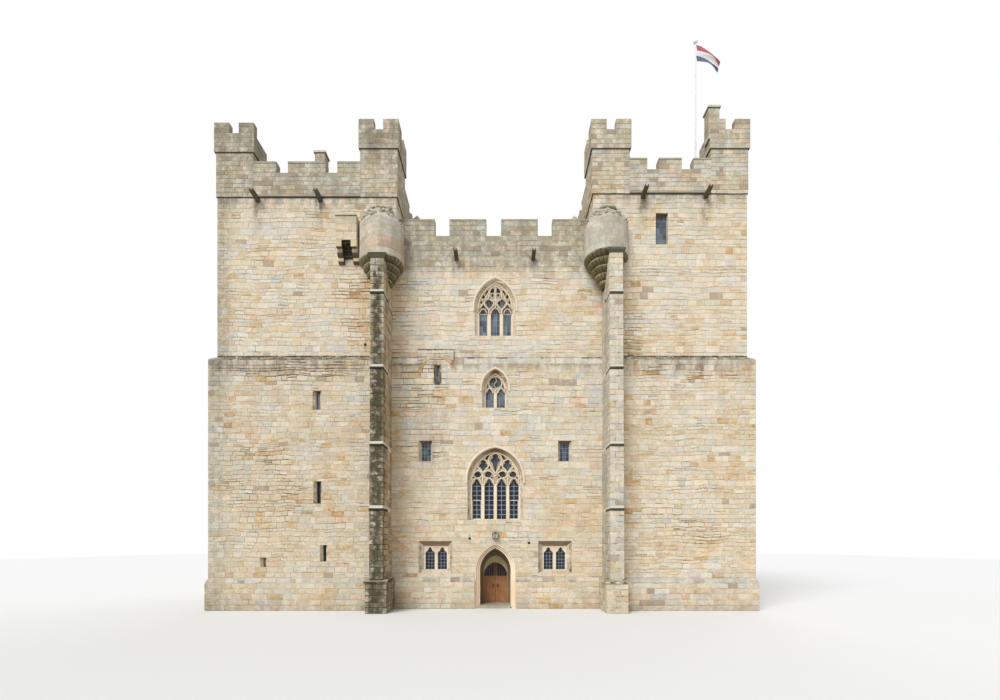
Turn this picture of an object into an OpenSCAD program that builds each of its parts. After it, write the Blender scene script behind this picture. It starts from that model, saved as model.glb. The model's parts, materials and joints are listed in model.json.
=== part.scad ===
/* [Plan] */
// Width of the left wing at its foot
left_w = 9450; // [8000:50:11000]
// Width of the right wing at its foot
right_w = 7890; // [7000:50:9500]
// Width of the middle block between the wings
bay_w = 11470; // [10000:50:13000]
// Depth of the wings from front to back
depth = 13500; // [12000:50:16000]
// How far the middle block stands behind the wing fronts
bay_setback = 800; // [600:20:1000]
// Thickness of the outer walls
wall_t = 2100; // [1800:20:2300]
// Sideways shift of the door and window axis from the middle of the block
axis_shift = -90; // [-300:10:300]

/* [Wing walls] */
// Height of the plinth
plinth_z = 1710; // [1200:10:1900]
// How far the plinth stands out
plinth_out = 120; // [60:5:200]
// Height of the sloped top of the plinth
plinth_slope = 260; // [100:10:400]
// Height where the wings step in
offset_z = 13200; // [12500:20:13500]
// Height of the sloped course at the step
offset_slope = 250; // [150:10:500]
// How much the wings step in at their outer sides
outer_set = 340; // [200:10:600]
// How much the wings step in at front and back
front_set = 250; // [150:10:350]
// Height of the wing walls, up to the string under the parapet
wing_top = 21900; // [21600:20:22400]
// How much higher the walls of the right wing are
right_rise = 190; // [100:10:300]
// How far the left wing oversails the block above the corner turret
left_over = 410; // [300:10:600]
// How far the right wing oversails the block above the corner turret
right_over = 610; // [300:10:700]

/* [Block walls] */
// Height where the block steps in
block_offset_z = 13280; // [13000:20:13500]
// Height of its sloped course
block_offset_slope = 380; // [200:10:500]
// How much the block steps in
block_set = 120; // [60:10:250]
// Height of the roof walk of the block
block_top = 19200; // [18800:20:19600]

/* [Floors] */
// Level of the ground floor
ground_z = 160; // [120:5:250]
// Level of the first floor, the hall
first_z = 4200; // [4050:10:4400]
// Level of the second floor
second_z = 10200; // [9800:10:10500]
// Level of the third floor
third_z = 14200; // [14000:10:14500]
// Level of the fourth floor, in the wings only
fourth_z = 18400; // [18100:10:18700]
// Thickness of an upper floor
floor_t = 400; // [250:10:450]

/* [Parapets] */
// How far string and parapet stand out from the wall
parapet_out = 50; // [30:5:120]
// Thickness of a parapet
parapet_t = 450; // [300:10:600]
// Height of the string course
string_h = 150; // [100:10:200]
// Height of the gaps in a wing parapet above its foot
wing_crenel_h = 1300; // [900:10:1400]
// Height of the merlons above the gaps of a wing parapet
wing_merlon_h = 640; // [400:10:800]
// Width of a gap in a wing parapet
wing_crenel_w = 620; // [400:10:800]
// Width of the middle merlon on the left wing
left_merlon_w = 2000; // [1500:10:2400]
// Width of the middle merlon on the right wing
right_merlon_w = 1210; // [900:10:1600]
// Height of the gaps in the block parapet above the roof walk
block_crenel_h = 1120; // [800:10:1300]
// Height of the merlons above the gaps of the block parapet
block_merlon_h = 950; // [600:10:1100]
// Width of a gap in the block parapet
block_crenel_w = 800; // [600:10:1000]
// Sideways shift of the gaps in the block parapet
block_crenel_shift = -80; // [-200:10:200]
// Height of the coping on a merlon
coping_h = 140; // [80:10:200]
// How far the coping stands out
coping_out = 20; // [10:5:60]

/* [Turrets] */
// Width of a turret shaft
turret_w = 1970; // [1700:10:2200]
// Depth of the outer turrets
outer_turret_d = 1250; // [1000:10:1500]
// Height of a turret shaft above the wing walls
turret_shaft_h = 2550; // [2200:10:2800]
// Height of a turret crown up to its gaps
crown_h = 1000; // [800:10:1300]
// Height of the merlons of a crown
crown_merlon_h = 550; // [400:10:700]
// How far a crown stands out from its shaft
crown_out = 70; // [40:5:120]
// Wall thickness of a crown
crown_t = 330; // [250:10:400]
// Width of a gap in a crown
crown_crenel_w = 500; // [400:10:650]
// How much lower the left outer turret is
turret_drop = 200; // [0:10:300]

/* [Corner turrets] */
// Radius of a round corner turret
drum_r = 1150; // [1000:10:1250]
// Height where its drum begins
drum_z = 18350; // [18100:10:18600]
// How much higher the drum on the right begins
right_drum_up = 270; // [100:10:400]
// Height of the drum on the left; both end at one level
drum_h = 1850; // [1600:10:2100]
// Height of the stone cone over the drum
cone_h = 900; // [700:10:1200]
// Radius of the cone half way up
cone_mid_r = 900; // [800:10:950]
// Radius of the cap on the cone
cone_top_r = 500; // [350:10:600]
// Height of the cap
cap_h = 200; // [120:10:260]
// Number of corbel rings under the drum
ring_n = 5; // [4:1:6]
// Height of one corbel ring
ring_h = 316; // [250:2:340]
// How much each ring steps in
ring_step = 190; // [150:5:200]
// How far the drum centre lies behind the upper wall face
drum_sink = 60; // [30:5:150]
// How far the left drum centre lies inside the wing corner
left_drum_in = 390; // [300:10:420]
// How far the right drum centre lies inside the wing corner
right_drum_in = 70; // [50:10:300]

/* [Buttresses] */
// Width of a buttress
buttress_w = 670; // [550:10:800]
// Projection of a buttress at its top
buttress_out = 900; // [800:10:1000]
// How much each stage below stands further out
buttress_step = 60; // [40:5:80]
// Width of the cap of a buttress
buttress_cap_w = 950; // [850:10:1050]
// Width of the foot of a buttress
buttress_foot_w = 1060; // [950:10:1150]
// Projection of the drip over each offset
drip_out = 50; // [30:5:70]
// Height of the drip
drip_h = 60; // [40:5:80]

/* [Door] */
// Width of the outer door arch
door_w = 1650; // [1500:10:1800]
// Height where the outer arch begins
door_spring = 2050; // [1900:10:2300]
// Rise of the outer arch
door_rise = 1190; // [1000:10:1300]
// Width of the moulded stone round the door
surround_w = 285; // [240:5:340]
// Depth of one moulded order
order_d = 130; // [100:5:160]
// Depth of the porch up to the inner arch
porch_d = 1300; // [1200:10:1400]
// Thickness of the inner arch
inner_arch_t = 200; // [150:5:240]
// Width of the inner arch
inner_w = 1330; // [1200:10:1400]
// Height where the inner arch begins
inner_spring = 1720; // [1650:10:1800]
// Rise of the inner arch
inner_rise = 750; // [680:10:830]
// How far a door leaf laps behind the inner arch
leaf_lap = 50; // [30:5:60]
// Thickness of a door leaf
leaf_t = 60; // [45:5:70]
// Gap round a leaf
leaf_gap = 8; // [6:1:12]
// Gap between the two leaves
meet_gap = 15; // [12:1:20]
// Height of the lock rail
rail_z = 1630; // [1500:10:1650]
// Width of stiles and rails of a leaf
stile_w = 95; // [80:5:110]
// Radius of a hinge pin
pin_r = 12; // [10:1:14]
// Running clearance on a hinge pin
pin_clear = 0.3; // [0.2:0.1:0.6]

/* [Windows] */
// Width of the four light hall window
hall_w = 2680; // [2500:10:2800]
// Sill of the hall window
hall_sill = 4810; // [4600:10:4950]
// Height of its jambs
hall_jamb_h = 2190; // [1900:10:2400]
// Rise of its arch
hall_rise = 1560; // [1400:10:1800]
// Width of the two light window
second_w = 1180; // [1100:10:1350]
// Sill of the two light window
second_sill = 10910; // [10700:10:11000]
// Height of its jambs
second_jamb_h = 1090; // [950:10:1150]
// Rise of its arch
second_rise = 870; // [780:10:980]
// Width of the three light window
third_w = 1920; // [1800:10:2100]
// Height of the sill of the three light window above the step of the block
third_sill_up = 1210; // [1000:10:1400]
// Height of its jambs
third_jamb_h = 1530; // [1400:10:1700]
// Rise of its arch
third_rise = 1410; // [1300:10:1550]
// Width of a mullion
mullion_w = 165; // [140:5:200]
// Depth of the tracery
tracery_t = 160; // [120:5:200]
// How far the tracery lies behind the wall face
tracery_back = 260; // [200:10:350]
// Width of the margin of stone round the lights
margin_w = 60; // [40:5:90]
// Width of the splay round the hall and three light windows
splay_w = 160; // [100:5:200]
// Width of the splay round the two light window
second_splay_w = 110; // [80:5:150]
// Projection of a hood mould
hood_out = 90; // [60:5:120]
// Width of a hood mould
hood_w = 120; // [80:5:150]
// Thickness of the glass
glass_t = 15; // [10:1:30]
// Width of a ground floor window between its jambs
ground_w = 1300; // [1200:10:1400]
// Sill of a ground floor window
ground_sill = 2050; // [1950:10:2150]
// Height of a ground floor window
ground_h = 1350; // [1200:10:1400]
// Distance of the ground floor windows from the axis
ground_x = 3250; // [3100:10:3400]
// How far the splayed recess is wider than the window on each side
ground_splay = 260; // [200:10:300]
// Width of the small windows beside the hall window
small_w = 500; // [450:10:600]
// Sill of the small windows
small_sill = 8040; // [7900:10:8200]
// Height of the small windows
small_h = 950; // [850:10:1050]
// How far their splayed recess is wider than the window on each side
small_splay = 120; // [80:10:160]
// Distance of the small windows from the axis
small_x = 3780; // [3600:10:3900]

/* [Roof] */
// Side of a chimney stack
stack_w = 560; // [500:10:700]
// Radius of the foot of the flagpole
pole_r = 60; // [45:1:80]
// Height of the flagpole above the roof
pole_h = 11010; // [10000:10:12000]
// Distance of the flagpole from the outer face of the right wing
pole_in = 1930; // [1700:10:2200]
// Distance of the flagpole from the front of the wings
pole_back = 3000; // [2700:10:3300]
// Height of the flag at the pole
flag_h = 970; // [800:10:1100]

/* [Hidden] */

e = 1;
total_w = left_w + bay_w + right_w;
x_lo = -total_w / 2;
x_li = x_lo + left_w;
x_ri = x_li + bay_w;
x_ro = total_w / 2;
x_axis = (x_li + x_ri) / 2 + axis_shift;
y_front = -depth / 2;
y_bay = y_front + bay_setback;
y_room = y_bay + wall_t;
y_wing_room = y_front + wall_t;
y_upper = y_front + front_set;
x_lo_up = x_lo + outer_set;
x_ro_up = x_ro - outer_set;
x_li_up = x_li + left_over;
x_ri_up = x_ri - right_over;
right_top = wing_top + right_rise;
right_drum_z = drum_z + right_drum_up;
door_apex = door_spring + door_rise;
inner_apex = inner_spring + inner_rise;
hall_spring = hall_sill + hall_jamb_h;
hall_apex = hall_spring + hall_rise;
second_spring = second_sill + second_jamb_h;
second_apex = second_spring + second_rise;
third_sill = block_offset_z + block_offset_slope + third_sill_up;
third_spring = third_sill + third_jamb_h;
third_apex = third_spring + third_rise;
ground_head = ground_sill + ground_h;
STONE = "#b9a88c";
GREY = "#8f8b7c";
WOOD = "#5b3423";
DARK = "#2b2a28";
GLASS = "#4b5563";

// A box between two corners
module box(x0, x1, y0, y1, z0, z1) {
    translate([x0, y0, z0])
        cube([x1 - x0, y1 - y0, z1 - z0]);
}

// A drawing of width and height, drawn out from y0 to y1
module along_y(y0, y1) {
    translate([0, y1, 0])
        rotate([90, 0, 0])
            linear_extrude(y1 - y0)
                children();
}

// A drawing of depth and height, drawn out from x0 to x1
module along_x(x0, x1) {
    translate([x0, 0, 0])
        rotate([90, 0, 90])
            linear_extrude(x1 - x0)
                children();
}

// The same thing at the front and, turned over, at the back
module front_and_back() {
    children();
    mirror([0, 1, 0])
        children();
}

// Outline of a wing seen from the front; side is -1 for the left wing
function wing_outline(xo, xi, side, over, over_z, top) = [
    [xo + side * plinth_out, 0],
    [xo + side * plinth_out, plinth_z - plinth_slope],
    [xo, plinth_z],
    [xo, offset_z],
    [xo - side * outer_set, offset_z + offset_slope],
    [xo - side * outer_set, top],
    [xi - side * over, top],
    [xi - side * over, over_z],
    [xi, over_z],
    [xi, 0]
];

// Outline of a wing seen from the side
function side_outline(top) = [
    [y_front - plinth_out, 0],
    [y_front - plinth_out, plinth_z - plinth_slope],
    [y_front, plinth_z],
    [y_front, offset_z],
    [y_upper, offset_z + offset_slope],
    [y_upper, top],
    [-y_upper, top],
    [-y_upper, offset_z + offset_slope],
    [-y_front, offset_z],
    [-y_front, plinth_z],
    [-y_front + plinth_out, plinth_z - plinth_slope],
    [-y_front + plinth_out, 0]
];

module left_mass() {
    intersection() {
        along_y(y_front - wall_t, -y_front + wall_t)
            polygon(wing_outline(x_lo, x_li, -1, left_over, drum_z, wing_top));
        along_x(x_lo - wall_t, x_li + wall_t)
            polygon(side_outline(wing_top));
    }
}

module right_mass() {
    intersection() {
        along_y(y_front - wall_t, -y_front + wall_t)
            polygon(wing_outline(x_ro, x_ri, 1, right_over, right_drum_z, right_top));
        along_x(x_ri - wall_t, x_ro + wall_t)
            polygon(side_outline(right_top));
    }
}

// A narrow window that widens to the room; the outer edges are chamfered
module slit(x, w, z0, z1) {
    chamfer = 110;
    throat = 320;
    room_w = w + 700;
    translate([x, y_front, z0])
        linear_extrude(z1 - z0)
            polygon([
                [-w / 2 - chamfer, -wall_t], [w / 2 + chamfer, -wall_t],
                [w / 2 + chamfer, 0], [w / 2, chamfer], [w / 2, throat],
                [room_w / 2, wall_t + e], [-room_w / 2, wall_t + e],
                [-w / 2, throat], [-w / 2, chamfer], [-w / 2 - chamfer, 0]
            ]);
}

// Slits of the left wing: x from the outer corner, width, foot and head
LEFT_SLITS = [
    [5730, 230, 10570, 11560],
    [5760, 230, 5630, 6800],
    [6080, 180, 2580, 3440],
    [2900, 120, 2290, 2780]
];
wing_window_x = 3035;
wing_window_w = 640;
wing_window_z = 19430;
wing_window_h = 1650;

module left_slits() {
    for (s = LEFT_SLITS)
        slit(x_lo + s[0], s[1], s[2], s[3]);
}

module wing_window() {
    box(x_ri + wing_window_x - wing_window_w / 2, x_ri + wing_window_x + wing_window_w / 2,
        y_front - e, y_wing_room + e, wing_window_z, wing_window_z + wing_window_h);
}

module left_front_part() {
    difference() {
        intersection() {
            left_mass();
            box(x_lo - wall_t, x_li + wall_t, y_front - wall_t, y_wing_room, 0, wing_top);
        }
        left_slits();
    }
}

module right_front_part() {
    difference() {
        intersection() {
            right_mass();
            box(x_ri - wall_t, x_ro + wall_t, y_front - wall_t, y_wing_room, 0, right_top);
        }
        wing_window();
    }
}

module left_wing_front() {
    color(STONE)
        left_front_part();
}

module left_wing_back() {
    color(STONE)
        mirror([0, 1, 0])
            left_front_part();
}

module right_wing_front() {
    color(STONE)
        right_front_part();
}

module right_wing_back() {
    color(STONE)
        mirror([0, 1, 0])
            right_front_part();
}

module left_wing_side() {
    color(STONE)
        intersection() {
            left_mass();
            box(x_lo - wall_t, x_lo + wall_t, y_wing_room, -y_wing_room, 0, wing_top);
        }
}

module left_wing_inner() {
    color(STONE)
        intersection() {
            left_mass();
            box(x_li - wall_t, x_li + wall_t, y_wing_room, -y_wing_room, 0, wing_top);
        }
}

module right_wing_side() {
    color(STONE)
        intersection() {
            right_mass();
            box(x_ro - wall_t, x_ro + wall_t, y_wing_room, -y_wing_room, 0, right_top);
        }
}

module right_wing_inner() {
    color(STONE)
        intersection() {
            right_mass();
            box(x_ri - wall_t, x_ri + wall_t, y_wing_room, -y_wing_room, 0, right_top);
        }
}

// A pointed arch of width w over straight jambs
module pointed(w, foot, spring, apex) {
    a = w / 2;
    rise = apex - spring;
    r = round((a * a + rise * rise) / w);
    translate([-a, foot])
        square([w, spring - foot]);
    intersection() {
        translate([a - r, spring])
            circle(r, $fn = 240);
        translate([r - a, spring])
            circle(r, $fn = 240);
        translate([-a, spring])
            square([w, rise + e]);
    }
}

// The arch grown by g on all sides but its foot
module grown(w, foot, spring, apex, g) {
    a = w / 2;
    rise = apex - spring;
    r = round((a * a + rise * rise) / w);
    reach = sqrt(pow(r + g, 2) - pow(r - a, 2));
    pointed(w + 2 * g, foot, spring, spring + reach);
}

// A profile, drawn as distance from the opening and depth, carried up both jambs
module jamb_sweep(w, foot, spring) {
    for (s = [0, 1])
        mirror([s, 0, 0])
            translate([w / 2, 0, foot])
                linear_extrude(spring - foot)
                    children();
}

// The same profile carried round both arcs of the arch
module arc_sweep(w, spring, apex) {
    a = w / 2;
    rise = apex - spring;
    r = round((a * a + rise * rise) / w);
    for (s = [0, 1])
        mirror([s, 0, 0])
            intersection() {
                translate([a - r, 0, spring])
                    rotate([90, 0, 0])
                        rotate_extrude($fn = 240)
                            translate([r, 0])
                                mirror([0, 1])
                                    children();
                translate([0, -2 * w, spring])
                    cube([2 * w, 4 * w, 2 * w]);
            }
}

// A window through the block wall, splayed from the wall face to the tracery
module window_cut(w, sill, spring, apex, splay, face) {
    translate([x_axis, y_bay, 0]) {
        along_y(-e, wall_t + e)
            pointed(w, sill, spring, apex);
        jamb_sweep(w, sill, spring)
            splay_profile(splay, face);
        arc_sweep(w, spring, apex)
            splay_profile(splay, face);
    }
}

module splay_profile(splay, face) {
    slope = splay / (tracery_back - face);
    polygon([
        [-margin_w, face - e], [splay + slope * e, face - e],
        [0, tracery_back], [-margin_w, tracery_back]
    ]);
}

module hall_cut() {
    window_cut(hall_w, hall_sill, hall_spring, hall_apex, splay_w, 0);
}

module second_cut() {
    window_cut(second_w, second_sill, second_spring, second_apex, second_splay_w, 0);
}

module third_cut() {
    window_cut(third_w, third_sill, third_spring, third_apex, splay_w, block_set);
}

ground_recess_d = 300;

// A window w wide between two heights, with a recess d deep that is wider by g at the wall face
module splayed_cut(x, w, z0, z1, g, d) {
    translate([x, 0, 0]) {
        box(-w / 2, w / 2, y_bay, y_room + e, z0, z1);
        intersection() {
            translate([0, y_bay, z0 - g])
                linear_extrude(z1 - z0 + 2 * g)
                    polygon([[-w / 2 - g, 0], [w / 2 + g, 0], [w / 2, d], [-w / 2, d]]);
            along_x(-w, w)
                polygon([
                    [y_bay, z0 - g / 2], [y_bay + d, z0], [y_bay + d, z1], [y_bay, z1 + g]
                ]);
        }
    }
}

module small_cuts() {
    for (s = [-1, 1])
        splayed_cut(x_axis + s * small_x, small_w, small_sill, small_sill + small_h,
            small_splay, tracery_back);
}

module ground_cut(x) {
    splayed_cut(x, ground_w, ground_sill, ground_head, ground_splay, ground_recess_d);
}

block_slit_x = -3130;
block_slit_w = 180;
block_slit_z = [12150, 13220];
panel_w = 1960;
panel_shift = -100;
panel_h = 820;
panel_slope = 60;

module block_slit() {
    translate([0, bay_setback, 0])
        slit(x_axis + block_slit_x, block_slit_w, block_slit_z[0], block_slit_z[1]);
}

door_out = door_w / 2 + surround_w;

// The doorway: porch, and behind the leaves a wider reveal
reveal_side = 90;
reveal_w = inner_w + 2 * leaf_lap + 2 * reveal_side + 2 * 20;
reveal_top = inner_apex + leaf_lap + 300;

module door_cut() {
    translate([x_axis, 0, 0]) {
        along_y(y_bay - e, y_bay + porch_d + inner_arch_t)
            grown(door_w, -e, door_spring, door_apex, surround_w);
        box(-reveal_w / 2, reveal_w / 2, y_bay + porch_d, y_room + e, -e, reveal_top);
    }
}

// The block wall between two heights, with its plinth and its step
module block_front(x0, x1, z0, z1) {
    intersection() {
        along_x(x0, x1)
            polygon([
                [y_room, 0], [y_bay - plinth_out, 0],
                [y_bay - plinth_out, plinth_z - plinth_slope], [y_bay, plinth_z],
                [y_bay, block_offset_z], [y_bay + block_set, block_offset_z + block_offset_slope],
                [y_bay + block_set, block_top], [y_room, block_top]
            ]);
        box(x0, x1, y_bay - wall_t, y_room, z0, z1);
    }
}

module left_pier_wall() {
    color(STONE)
        difference() {
            block_front(x_li, x_axis - door_out, 0, first_z);
            ground_cut(x_axis - ground_x);
        }
}

module right_pier_wall() {
    color(STONE)
        difference() {
            block_front(x_axis + door_out, x_ri, 0, first_z);
            ground_cut(x_axis + ground_x);
        }
}

module over_door_wall() {
    color(STONE)
        difference() {
            block_front(x_axis - door_out, x_axis + door_out, door_spring, first_z);
            door_cut();
        }
}

module hall_storey() {
    difference() {
        block_front(x_li, x_ri, first_z, second_z);
        hall_cut();
        small_cuts();
    }
}

module second_storey() {
    difference() {
        block_front(x_li, x_ri, second_z, block_offset_z);
        second_cut();
        block_slit();
    }
}

// Over the slit the lower wall face goes up past the step
module slit_panel() {
    x = x_axis + block_slit_x + panel_shift;
    top = block_offset_z + panel_h;
    along_x(x - panel_w / 2, x + panel_w / 2)
        polygon([
            [y_bay, block_offset_z], [y_bay, top - panel_slope], [y_bay + block_set, top],
            [y_bay + 2 * block_set, top], [y_bay + 2 * block_set, block_offset_z]
        ]);
}

module third_storey() {
    difference() {
        union() {
            block_front(x_li, x_ri, block_offset_z, block_top);
            slit_panel();
        }
        third_cut();
        box(x_li - e, x_li_up, y_bay - e, y_room + e, drum_z, block_top + e);
        box(x_ri_up, x_ri + e, y_bay - e, y_room + e, right_drum_z, block_top + e);
    }
}

module hall_wall() {
    color(STONE)
        hall_storey();
}

module second_storey_wall() {
    color(STONE)
        second_storey();
}

module third_storey_wall() {
    color(STONE)
        third_storey();
}

module back_ground_wall() {
    color(STONE)
        mirror([0, 1, 0])
            difference() {
                block_front(x_li, x_ri, 0, first_z);
                ground_cut(x_axis - ground_x);
                ground_cut(x_axis + ground_x);
            }
}

module back_hall_wall() {
    color(STONE)
        mirror([0, 1, 0])
            hall_storey();
}

module back_upper_wall() {
    color(STONE)
        mirror([0, 1, 0]) {
            second_storey();
            third_storey();
        }
}

// One floor: a slab in the block and one in each wing
module slabs(top, thick, wings_only = false) {
    if (!wings_only)
        box(x_li, x_ri, y_room, -y_room, top - thick, top);
    box(x_lo + wall_t, x_li - wall_t, y_wing_room, -y_wing_room, top - thick, top);
    box(x_ri + wall_t, x_ro - wall_t, y_wing_room, -y_wing_room, top - thick, top);
}

module ground_floor() {
    color(GREY)
        slabs(ground_z, ground_z);
}

module first_floor() {
    color(GREY)
        slabs(first_z, floor_t);
}

module second_floor() {
    color(GREY)
        slabs(second_z, floor_t);
}

module third_floor() {
    color(GREY)
        slabs(third_z, floor_t);
}

module fourth_floor() {
    color(GREY)
        slabs(fourth_z, floor_t, true);
}

module roofs() {
    color(GREY) {
        box(x_lo + wall_t, x_li - wall_t, y_wing_room, -y_wing_room, wing_top - floor_t, wing_top);
        box(x_ri + wall_t, x_ro - wall_t, y_wing_room, -y_wing_room, right_top - floor_t, right_top);
        box(x_li_up, x_ri_up, y_room, -y_room, block_top - floor_t, block_top);
    }
}

// A parapet along x from 0 to len, its outer face at y = 0; gaps holds [start, end] pairs
module parapet(len, low, high, gaps, string = true) {
    starts = [0, for (g = gaps) g[1]];
    ends = [for (g = gaps) g[0], len];
    along_x(0, len) {
        square([parapet_t, low]);
        if (string)
            translate([-coping_out, 0])
                square([parapet_t / 2, string_h]);
    }
    for (i = [0:len(starts) - 1])
        along_x(starts[i], ends[i])
            polygon([
                [0, low - e], [parapet_t, low - e],
                [parapet_t, high - coping_h], [parapet_t + coping_out, high - coping_h],
                [parapet_t + coping_out, high - coping_h / 3], [parapet_t / 2, high],
                [-coping_out, high - coping_h / 3], [-coping_out, high - coping_h],
                [0, high - coping_h]
            ]);
}

// Two gaps beside a middle merlon of width mid
function two_gaps(len, mid) = [
    [(len - mid) / 2 - wing_crenel_w, (len - mid) / 2],
    [(len + mid) / 2, (len + mid) / 2 + wing_crenel_w]
];

// A number of gaps with equal merlons between them
function even_gaps(len, n, gap) = [
    for (i = [1:n])
        let (merlon = (len - n * gap) / (n + 1))
            [i * merlon + (i - 1) * gap, i * (merlon + gap)]
];

wing_low = wing_crenel_h;
wing_high = wing_crenel_h + wing_merlon_h;
side_gap_n = 4;
y_parapet = y_upper - parapet_out;

// A parapet along the side of a wing, its outer face at x; side is -1 where it faces left
module side_parapet(x, side, y0, y1, top) {
    translate([x, side < 0 ? y1 : y0, top])
        rotate([0, 0, side < 0 ? -90 : 90])
            parapet(y1 - y0, wing_low, wing_high, even_gaps(y1 - y0, side_gap_n, wing_crenel_w));
}

module wing_parapet(xa, xb, left_d, right_d, mid, top) {
    run = xb - xa - 2 * turret_w;
    front_and_back()
        translate([xa + turret_w, y_parapet, top])
            parapet(run, wing_low, wing_high, two_gaps(run, mid));
    side_parapet(xa, -1, y_parapet + left_d, -y_parapet - left_d, top);
    side_parapet(xb, 1, y_parapet + right_d, -y_parapet - right_d, top);
}

module left_wing_parapet() {
    color(GREY)
        wing_parapet(x_lo_up - parapet_out, x_li_up + parapet_out,
            outer_turret_d, turret_w, left_merlon_w, wing_top);
}

module right_wing_parapet() {
    color(GREY)
        wing_parapet(x_ri_up - parapet_out, x_ro_up + parapet_out,
            turret_w, outer_turret_d, right_merlon_w, right_top);
}

block_gap_n = 3;

module block_parapet() {
    run = x_ri_up - x_li_up;
    shift = block_crenel_shift;
    gaps = [for (g = even_gaps(run, block_gap_n, block_crenel_w)) [g[0] + shift, g[1] + shift]];
    color(GREY)
        front_and_back()
            translate([x_li_up, y_bay + block_set, block_top])
                parapet(run, block_crenel_h, block_crenel_h + block_merlon_h, gaps, false);
}

// A turret from its corner at the origin, w wide and d deep, with a crown
module turret(w, d, drop, open_back) {
    c = crown_out;
    z1 = turret_shaft_h - drop;
    z2 = z1 + crown_h;
    z3 = z2 + crown_merlon_h;
    gap0 = (w - crown_crenel_w) / 2;
    box(0, w, 0, d, 0, z1);
    difference() {
        box(-c, w + c, -c, d + c, z1, z3);
        box(crown_t - c, w + c - crown_t, crown_t - c, d + c - crown_t, z1 + crown_h / 2, z3 + e);
        box(gap0, gap0 + crown_crenel_w, -c - e, d + c + e, z2, z3 + e);
        if (open_back)
            box(-c - e, w + c + e, crown_t - c, d + c + e, z2, z3 + e);
        else
            box(-c - e, w + c + e, (d - crown_crenel_w) / 2, (d + crown_crenel_w) / 2, z2, z3 + e);
    }
}

stack_top = 4990;
stack_cap_h = 110;
stack_cap_out = 60;
stack_peak = 200;

// The stack on the right outer turret takes the place of its corner
stack_over = 80;
stack_x = x_ro_up + parapet_out - turret_w - crown_out - stack_over;
stack_y = y_parapet - crown_out;
stack_foot = wing_top + turret_shaft_h + crown_h / 2;

module turret_stack_space() {
    box(stack_x - e, stack_x + stack_w, stack_y - e, stack_y + stack_w, stack_foot, wing_top + stack_top);
}

module left_wing_turrets() {
    color(GREY)
        front_and_back() {
            translate([x_lo_up - parapet_out, y_parapet, wing_top])
                turret(turret_w, outer_turret_d, turret_drop, true);
            translate([x_li_up + parapet_out - turret_w, y_parapet, wing_top])
                turret(turret_w, turret_w, 0, false);
        }
}

module right_outer_turret() {
    translate([x_ro_up + parapet_out - turret_w, y_parapet, right_top])
        turret(turret_w, outer_turret_d, right_rise, true);
}

module right_wing_turrets() {
    color(GREY) {
        front_and_back()
            translate([x_ri_up - parapet_out, y_parapet, right_top])
                turret(turret_w, turret_w, right_rise, false);
        difference() {
            right_outer_turret();
            turret_stack_space();
        }
        mirror([0, 1, 0])
            right_outer_turret();
    }
}

cone_z = drum_z + drum_h;

// Outline of a round corner turret: corbel rings, drum from z upwards, cone and cap
module drum_outline(z) {
    r0 = drum_r - ring_n * ring_step;
    foot = z - ring_n * ring_h;
    for (i = [0:ring_n - 1])
        translate([0, foot + i * ring_h]) {
            square([r0 + i * ring_step, ring_h]);
            intersection() {
                translate([r0 + i * ring_step, ring_h])
                    circle(ring_step, $fn = 48);
                translate([r0 + i * ring_step - e, ring_h - ring_step])
                    square([ring_step + e, ring_step]);
            }
        }
    translate([0, z])
        square([drum_r, cone_z - z]);
    polygon([
        [0, cone_z], [drum_r, cone_z], [cone_mid_r, cone_z + cone_h / 2],
        [cone_top_r, cone_z + cone_h],
        [cone_top_r * 0.7, cone_z + cone_h + cap_h], [0, cone_z + cone_h + cap_h]
    ]);
}

offset_zs = [5430, 8680, 12590, 16420];
offset_h = 180;
buttress_cap_h = 260;
cap_slab_h = 100;
cap_drop = 70;
foot_slab_h = 190;
foot_slab_out = 70;

// Corners of one offset: out to the drip, down and back to the stage below
function offset_corners(z, out) = [
    [y_front - out, z],
    [y_front - out - buttress_step - drip_out, z - offset_h],
    [y_front - out - buttress_step - drip_out, z - offset_h - drip_h],
    [y_front - out - buttress_step, z - offset_h - drip_h]
];

// The slab on top, chamfered below at its front and sides
module buttress_cap(mid, z) {
    w = buttress_cap_w / 2;
    n = buttress_w / 2;
    slab_z = z + buttress_cap_h - cap_slab_h;
    top = z + buttress_cap_h;
    out = buttress_out + buttress_step;
    intersection() {
        along_x(mid - w, mid + w)
            polygon([
                [y_front, z], [y_front - buttress_out, z], [y_front - out, slab_z],
                [y_front - out, top], [y_front, top]
            ]);
        along_y(y_front - out, y_front)
            polygon([
                [mid - n, z], [mid - w, slab_z], [mid - w, top],
                [mid + w, top], [mid + w, slab_z], [mid + n, z]
            ]);
    }
}

// A buttress between x0 and x1 under the drum that begins at drum_foot
module buttress(x0, x1, drum_foot) {
    n = len(offset_zs);
    mid = (x0 + x1) / 2;
    cap_z = drum_foot - cap_drop - buttress_cap_h;
    reach = buttress_out + n * buttress_step;
    along_x(x0, x1)
        polygon([
            [y_front, 0], [y_front, cap_z], [y_front - buttress_out, cap_z],
            for (i = [n - 1:-1:0], p = offset_corners(offset_zs[i],
                buttress_out + (n - 1 - i) * buttress_step)) p,
            [y_front - reach, 0]
        ]);
    buttress_cap(mid, cap_z);
    buttress_foot(mid, reach + buttress_step);
}

// The wider foot with a sloped slab on it
module buttress_foot(mid, reach) {
    w = buttress_foot_w / 2;
    s = foot_slab_out;
    box(mid - w, mid + w, y_front - reach, y_front, 0, plinth_z - foot_slab_h);
    along_x(mid - w - s, mid + w + s)
        polygon([
            [y_front, plinth_z - foot_slab_h], [y_front, plinth_z],
            [y_front - reach + 2 * s, plinth_z],
            [y_front - reach - s, plinth_z - foot_slab_h / 2],
            [y_front - reach - s, plinth_z - foot_slab_h]
        ]);
}

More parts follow.
